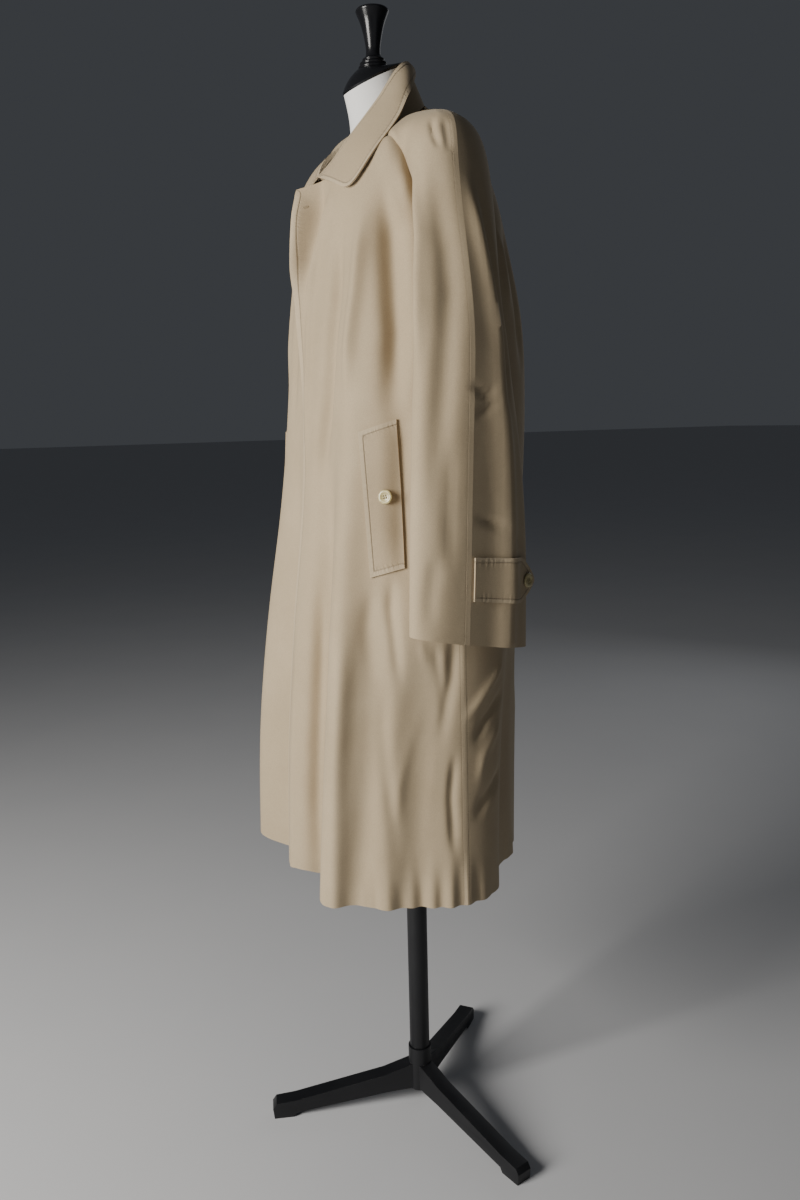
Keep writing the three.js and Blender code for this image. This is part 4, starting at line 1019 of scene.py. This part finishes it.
def level_lines(name, mesh, away):
    """The stitch lines on the outer face, where the distance from them is nothing, as points and normals."""
    crossings, links = {}, {}
    for face in mesh.polygons:
        corners = list(face.vertices)
        signs = [away[corner] > 0 for corner in corners]
        if all(signs) or not any(signs) or not outward_sign(name, face.center, face.normal):
            continue
        keys = []
        for a, b in zip(corners, corners[1:] + corners[:1]):
            if (away[a] > 0) != (away[b] > 0) and abs(away[a] - away[b]) < 20:
                key = (min(a, b), max(a, b))
                share = away[a] / (away[a] - away[b])
                place = mesh.vertices[a].co.lerp(mesh.vertices[b].co, share)
                crossings[key] = (place, face.normal.copy())
                keys.append(key)
        if len(keys) == 2:
            links.setdefault(keys[0], []).append(keys[1])
            links.setdefault(keys[1], []).append(keys[0])
    lines = []
    left = set(links)
    ends = [key for key in sorted(links) if len(links[key]) == 1] + sorted(links)
    for start in ends:
        if start not in left:
            continue
        chain = [start]
        left.discard(start)
        while True:
            onward = [key for key in links[chain[-1]] if key in left]
            if not onward:
                break
            chain.append(onward[0])
            left.discard(onward[0])
        if len(chain) > 3:
            lines.append([crossings[key] for key in chain])
    return lines


STITCH_PITCH, STITCH_LENGTH, THREAD_RADIUS = 2.9 * MM, 2.2 * MM, 0.2 * MM
SHORTEST_LINE = 8 * MM


def sampled(runs, values, run):
    """What a line's samples give at one run along it."""
    return Vector([np.interp(run, runs, values[:, axis]) for axis in range(3)])


def add_stitches(name, mesh, away):
    """Short raised threads along a piece's stitch lines."""
    points, faces = [], []
    for line in level_lines(name, mesh, away):
        places = np.array([list(place) for place, _ in line])
        normals = np.array([list(normal) for _, normal in line])
        runs = np.concatenate(([0], np.cumsum(np.linalg.norm(np.diff(places, axis=0), axis=1))))
        if runs[-1] < SHORTEST_LINE:
            continue
        for middle in np.arange(STITCH_PITCH, runs[-1] - STITCH_PITCH / 2, STITCH_PITCH):
            first = sampled(runs, places, middle - STITCH_LENGTH / 2)
            last = sampled(runs, places, middle + STITCH_LENGTH / 2)
            up = sampled(runs, normals, middle).normalized()
            along = (last - first).normalized()
            across = along.cross(up).normalized()
            up = across.cross(along).normalized()
            start = len(points)
            points.append(first - up * 0.1 * MM)
            for share, lift, radius in ((0.2, 0.1, 0.8), (0.5, 0.2, 1.0), (0.8, 0.1, 0.8)):
                centre = first.lerp(last, share) + up * lift * MM
                for turn in range(4):
                    angle = math.pi / 2 * turn
                    around = across * math.cos(angle) + up * math.sin(angle)
                    points.append(centre + around * THREAD_RADIUS * radius)
            points.append(last - up * 0.1 * MM)
            end = start + 13
            for turn in range(4):
                after = (turn + 1) % 4
                faces.append((start, start + 1 + after, start + 1 + turn))
                for ring in (start + 1, start + 5):
                    faces.append((ring + turn, ring + after, ring + 4 + after, ring + 4 + turn))
                faces.append((start + 9 + turn, start + 9 + after, end))
    if not faces:
        return
    stitches = bpy.data.meshes.new(name + "_stitches")
    stitches.from_pydata([list(point) for point in points], [], faces)
    add_piece(name + "_stitches", stitches, THREAD, ())


for name, mesh in cloth.items():
    rest = press_cloth(name, mesh)
    values = seam_values(name, rest)
    seam = mesh.attributes.new("seam", "FLOAT_VECTOR", "POINT")
    seam.data.foreach_set("vector", values.ravel())
    add_piece(name + "_cloth", mesh, GABARDINE, (name,))
    away = np.where(values[:, 2] > 0, values[:, 0], 60.0)
    add_stitches(name, mesh, away)


def add_buttonhole():
    """The worked buttonhole near the top of the left front, a narrow ring of thread."""
    surface = surface_of(cloth["front_left"])
    first, last = Vector((-17 * MM, -125 * MM, 1387 * MM)), Vector((-6 * MM, -115 * MM, 1391 * MM))
    middle, along = (first + last) / 2, (last - first).normalized()
    centres, ups = [], []
    for step in range(28):
        turn = math.tau * step / 28
        reach = 5.2 * MM * math.copysign(abs(math.cos(turn)) ** 0.6, math.cos(turn))
        spot = middle + along * reach + Vector((0, 0, 1.0 * MM * math.sin(turn)))
        place, up, _, _ = surface.find_nearest(spot)
        if not outward_sign("front_left", place, up):
            up = -up
        centres.append(place + up * 0.15 * MM)
        ups.append(up)
    points, faces = [], []
    for step, (place, up) in enumerate(zip(centres, ups)):
        way = (centres[(step + 1) % 28] - centres[step - 1]).normalized()
        across = way.cross(up).normalized()
        for turn in range(6):
            angle = math.tau * turn / 6
            points.append(place + (across * math.cos(angle) + up * math.sin(angle)) * 0.6 * MM)
            after = (turn + 1) % 6
            onward = (step + 1) % 28 * 6
            faces.append((step * 6 + turn, step * 6 + after, onward + after, onward + turn))
    mesh = bpy.data.meshes.new("neck_buttonhole")
    mesh.from_pydata([list(point) for point in points], [], faces)
    add_piece("neck_buttonhole", mesh, THREAD, ())


add_buttonhole()

# buttons


def button_frame(node):
    """A button's middle, its outward direction and its upward direction, from its CAD node."""
    points = read_vertices(NODES[node].data)
    middle = (points.max(axis=0) + points.min(axis=0)) / 2
    _, _, axes = np.linalg.svd(points - points.mean(axis=0), full_matrices=False)
    out = Vector(axes[2])
    within = Vector((0, POLE_Y, 0))
    if "cuff" in node:
        within = Vector((240 * MM if "left" in node else -240 * MM, 0, 0))
    away = Vector(middle) - within
    away.z = 0
    if out.dot(away) < 0:
        out = -out
    up = (Vector((0, 0, 1)) - out * out.z).normalized()
    place = Vector(points.mean(axis=0))
    reach = (points - np.array(place)) @ np.array(out)
    place += out * (reach.max() + reach.min()) / 2
    return place, out, up


def shift_like_cloth(node, place):
    """A button goes where the creases take the cloth under it."""
    above = Vector((0, 0, 0))
    if node == "neck_button":  # it lies under the left front and sinks as far as it does
        node, above = "front_left", Vector((0, -3.5 * MM, 0))
    points = np.array([list(place + above)])
    press_creases(node, points)
    return Vector(points[0]) - above


# Half of a button's section from the middle of its face to the middle of its back, in millimetres:
# a dished middle, a rounded raised rim and a domed back
BUTTON_SECTION = [
    (0.0, 0.75), (1.2, 0.75), (2.4, 0.76), (3.6, 0.8), (4.6, 0.95), (5.2, 1.25), (5.8, 1.55), (6.6, 1.68),
    (7.6, 1.68), (8.5, 1.5), (9.1, 1.1), (9.45, 0.4), (9.4, -0.3), (8.9, -0.9), (7.6, -1.35), (5.0, -1.62),
    (0.0, -1.7),
]
HOLES = [(-1.6, -1.6), (1.6, -1.6), (1.6, 1.6), (-1.6, 1.6)]
HOLE_DEPTH, HOLE_RADIUS, HOLE_EDGE = 1.9, 0.65, 0.35
STRAND_RADIUS = 0.17


def button_form():
    """A four-hole button round the upright axis, its face up."""
    form = bmesh.new()
    dense = []
    for (r, h), (r2, h2) in zip(BUTTON_SECTION, BUTTON_SECTION[1:]):
        steps = max(1, round(math.hypot(r2 - r, h2 - h) / (0.3 if r2 <= 3.7 and h > 0 else 0.8)))
        dense += [(r + (r2 - r) * k / steps, h + (h2 - h) * k / steps) for k in range(steps)]
    dense.append(BUTTON_SECTION[-1])
    profile = [form.verts.new((r * MM, 0, h * MM)) for r, h in dense]
    edges = [form.edges.new(pair) for pair in zip(profile, profile[1:])]
    bmesh.ops.spin(
        form,
        geom=profile + edges,
        cent=(0, 0, 0),
        axis=(0, 0, 1),
        angle=2 * math.pi,
        steps=56,
        use_merge=True,
    )
    bmesh.ops.remove_doubles(form, verts=form.verts, dist=1e-6)
    bmesh.ops.recalc_face_normals(form, faces=form.faces)
    for vertex in form.verts:
        if vertex.co.z > 0:
            gap = min(math.hypot(vertex.co.x / MM - x, vertex.co.y / MM - y) for x, y in HOLES)
            vertex.co.z -= HOLE_DEPTH * MM * (1 - float(smoothstep((gap - HOLE_RADIUS) / HOLE_EDGE)))
    return form


def sewing_form():
    """The thread that sews a button on, in two bars of three strands from hole to hole."""
    thread = bmesh.new()
    for bar in ((HOLES[0], HOLES[3]), (HOLES[1], HOLES[2])):
        for strand in (-0.3, 0.0, 0.3):
            rings = []
            for step in range(9):
                share = step / 8
                x = bar[0][0] + (bar[1][0] - bar[0][0]) * share + strand
                y = bar[0][1] + (bar[1][1] - bar[0][1]) * share
                z = 0.85 + 0.35 * math.sin(math.pi * share) - 1.0 * (abs(share - 0.5) > 0.49)
                ring = []
                for k in range(6):
                    angle = math.pi / 3 * k
                    spot = (x + STRAND_RADIUS * math.cos(angle), y, z + STRAND_RADIUS * math.sin(angle))
                    ring.append(thread.verts.new([value * MM for value in spot]))
                rings.append(ring)
            for first, second in zip(rings, rings[1:]):
                for k in range(6):
                    thread.faces.new((first[k], second[k], second[(k + 1) % 6], first[(k + 1) % 6]))
            thread.faces.new(rings[0])
            thread.faces.new(rings[-1][::-1])
    bmesh.ops.recalc_face_normals(thread, faces=thread.faces)
    return thread


def add_button(node, tilt):
    """A button and its thread, sewn on at a slight tilt."""
    place, out, up = button_frame(node)
    place = shift_like_cloth(node, place)
    turn = Matrix((up.cross(out), up, out)).transposed() @ Matrix.Rotation(math.radians(tilt), 3, "Z")
    for form, name, material, replaced, slot in (
        (button_form(), node + "_turned", HORN, (node,), "horn"),
        (sewing_form(), node + "_thread", THREAD, (), "gabardine"),
    ):
        bmesh.ops.transform(form, matrix=Matrix.Translation(place) @ turn.to_4x4(), verts=form.verts)
        mesh = bpy.data.meshes.new(name)
        form.to_mesh(mesh)
        form.free()
        add_piece(name, mesh, material, replaced)


BUTTON_TILTS = {
    "pocket_button_left": 14,
    "pocket_button_right": -9,
    "cuff_button_left": 20,
    "cuff_button_right": 6,
    "neck_button": 3,
}
for node, tilt in BUTTON_TILTS.items():
    add_button(node, tilt)

# form and stand

torso = subdivided(quads_of("form_torso"), "form_torso_padded", 2)
add_piece("form_torso_padded", torso, JERSEY, ("form_torso",))
cap = subdivided(quads_of("neck_cap"), "neck_cap_turned", 2)
add_piece("neck_cap_turned", cap, LACQUER, ("neck_cap",))


def add_turned(name, node, material, profile):
    """A piece turned about the upright line through its CAD node's middle."""
    low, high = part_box(node)
    middle = (low + high) / 2
    form = bmesh.new()
    verts = [form.verts.new((middle.x + r * MM, middle.y, low.z + h * MM)) for r, h in profile]
    edges = [form.edges.new(pair) for pair in zip(verts, verts[1:])]
    bmesh.ops.spin(
        form,
        geom=verts + edges,
        cent=(middle.x, middle.y, 0),
        axis=(0, 0, 1),
        angle=2 * math.pi,
        steps=64,
        use_merge=True,
    )
    bmesh.ops.remove_doubles(form, verts=form.verts, dist=1e-6)
    bmesh.ops.recalc_face_normals(form, faces=form.faces)
    mesh = bpy.data.meshes.new(name)
    form.to_mesh(mesh)
    form.free()
    return add_piece(name, mesh, material, (node,))


def rounded(profile, steps=5):
    """A profile with a smooth curve through its points, its first and last kept on the axis."""
    full = [profile[0]] + list(profile) + [profile[-1]]
    smooth = []
    for a, b, c, d in zip(full, full[1:], full[2:], full[3:]):
        for step in range(steps):
            t = step / steps
            place = []
            for p, q, r, s in zip(a, b, c, d):
                bend = 2 * p - 5 * q + 4 * r - s + t * (3 * (q - r) + s - p)
                place.append(max(0.0, q + 0.5 * t * (r - p + t * bend)))
            smooth.append(tuple(place))
    smooth.append(profile[-1])
    return smooth


FINIAL_PROFILE = [
    (0, 0), (18, 0), (20, 0.8), (20.5, 3), (18, 5.5), (18.5, 8), (14.5, 10.5), (15, 13), (11, 16),
    (9.8, 22), (10.2, 30),
    (12.5, 43), (16.5, 58), (21, 69), (22.5, 73), (21, 75.5),
]
POLE_TOP = (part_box("pole")[1].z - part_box("pole")[0].z) / MM
POLE_PROFILE = [(0, 0), (15.2, 0), (15.8, 0.6), (15.8, POLE_TOP - 0.6), (15.2, POLE_TOP), (0, POLE_TOP)]
add_turned("finial_turned", "finial", LACQUER, rounded(FINIAL_PROFILE) + [(18, 76.5), (0, 77)])
add_turned("pole_tube", "pole", BLACK_PAINT, POLE_PROFILE)


def add_cast_foot():
    """The foot with its sharp CAD edges rounded as a casting's are."""
    form = quads_of("stand_foot")
    joined = [edge for edge in form.edges if len(edge.link_faces) == 2]
    sharp = [edge for edge in joined if edge.calc_face_angle() > math.radians(28)]
    wear_and_highlight = form.faces.layers.float.new("wear_and_highlight")
    rounded_off = bmesh.ops.bevel(
        form,
        geom=sharp,
        offset=2.2 * MM,
        segments=3,
        profile=0.5,
        affect="EDGES",
        material=-1,
        clamp_overlap=True,
    )
    form.normal_update()
    # rubbed specks on every rounded edge, four times as strong on the upward-facing ones: real wear there,
    # plus a painted highlight along the top edges
    for face in rounded_off["faces"]:
        face[wear_and_highlight] = 1.0 if face.normal.z > 0.2 else 0.25
    bmesh.ops.recalc_face_normals(form, faces=form.faces)
    mesh = bpy.data.meshes.new("stand_foot_cast")
    form.to_mesh(mesh)
    form.free()
    add_piece("stand_foot_cast", mesh, BLACK_PAINT, ("stand_foot",))


add_cast_foot()

# The cut of each cloth piece, measured flat: its width and length, its area and what it lies on
SHEETS = [
    ("front_left", 0.43, 1.04, 0.339, "form_torso_padded"),
    ("front_right", 0.41, 1.04, 0.318, "form_torso_padded"),
    ("back", 0.68, 1.09, 0.593, "form_torso_padded"),
    ("sleeve_left_front", 0.22, 0.73, 0.113, "form_torso_padded"),
    ("sleeve_left_back", 0.23, 0.76, 0.122, "form_torso_padded"),
    ("sleeve_right_front", 0.22, 0.73, 0.109, "form_torso_padded"),
    ("sleeve_right_back", 0.23, 0.76, 0.122, "form_torso_padded"),
    ("collar", 0.12, 0.46, 0.043, "back_cloth"),
    ("pocket_welt_left", 0.05, 0.205, 0.0099, "front_left_cloth"),
    ("pocket_welt_right", 0.05, 0.205, 0.0099, "front_right_cloth"),
    ("cuff_tab_left", 0.065, 0.105, 0.0061, "sleeve_left_back_cloth"),
    ("cuff_tab_right", 0.065, 0.105, 0.0059, "sleeve_right_back_cloth"),
]


def declare_sheets():
    """Every cloth piece of the coat is a sheet that hangs from the form or lies on another piece; this only
    gathers each one's stitch threads, and the left front's buttonhole, and does nothing with them.
    """
    for name, width, length, area, rests_on in SHEETS:
        threads = [bpy.data.objects[name + "_stitches"]] if name + "_stitches" in bpy.data.objects else []
        if name == "front_left":
            threads.append(bpy.data.objects["neck_buttonhole"])


declare_sheets()
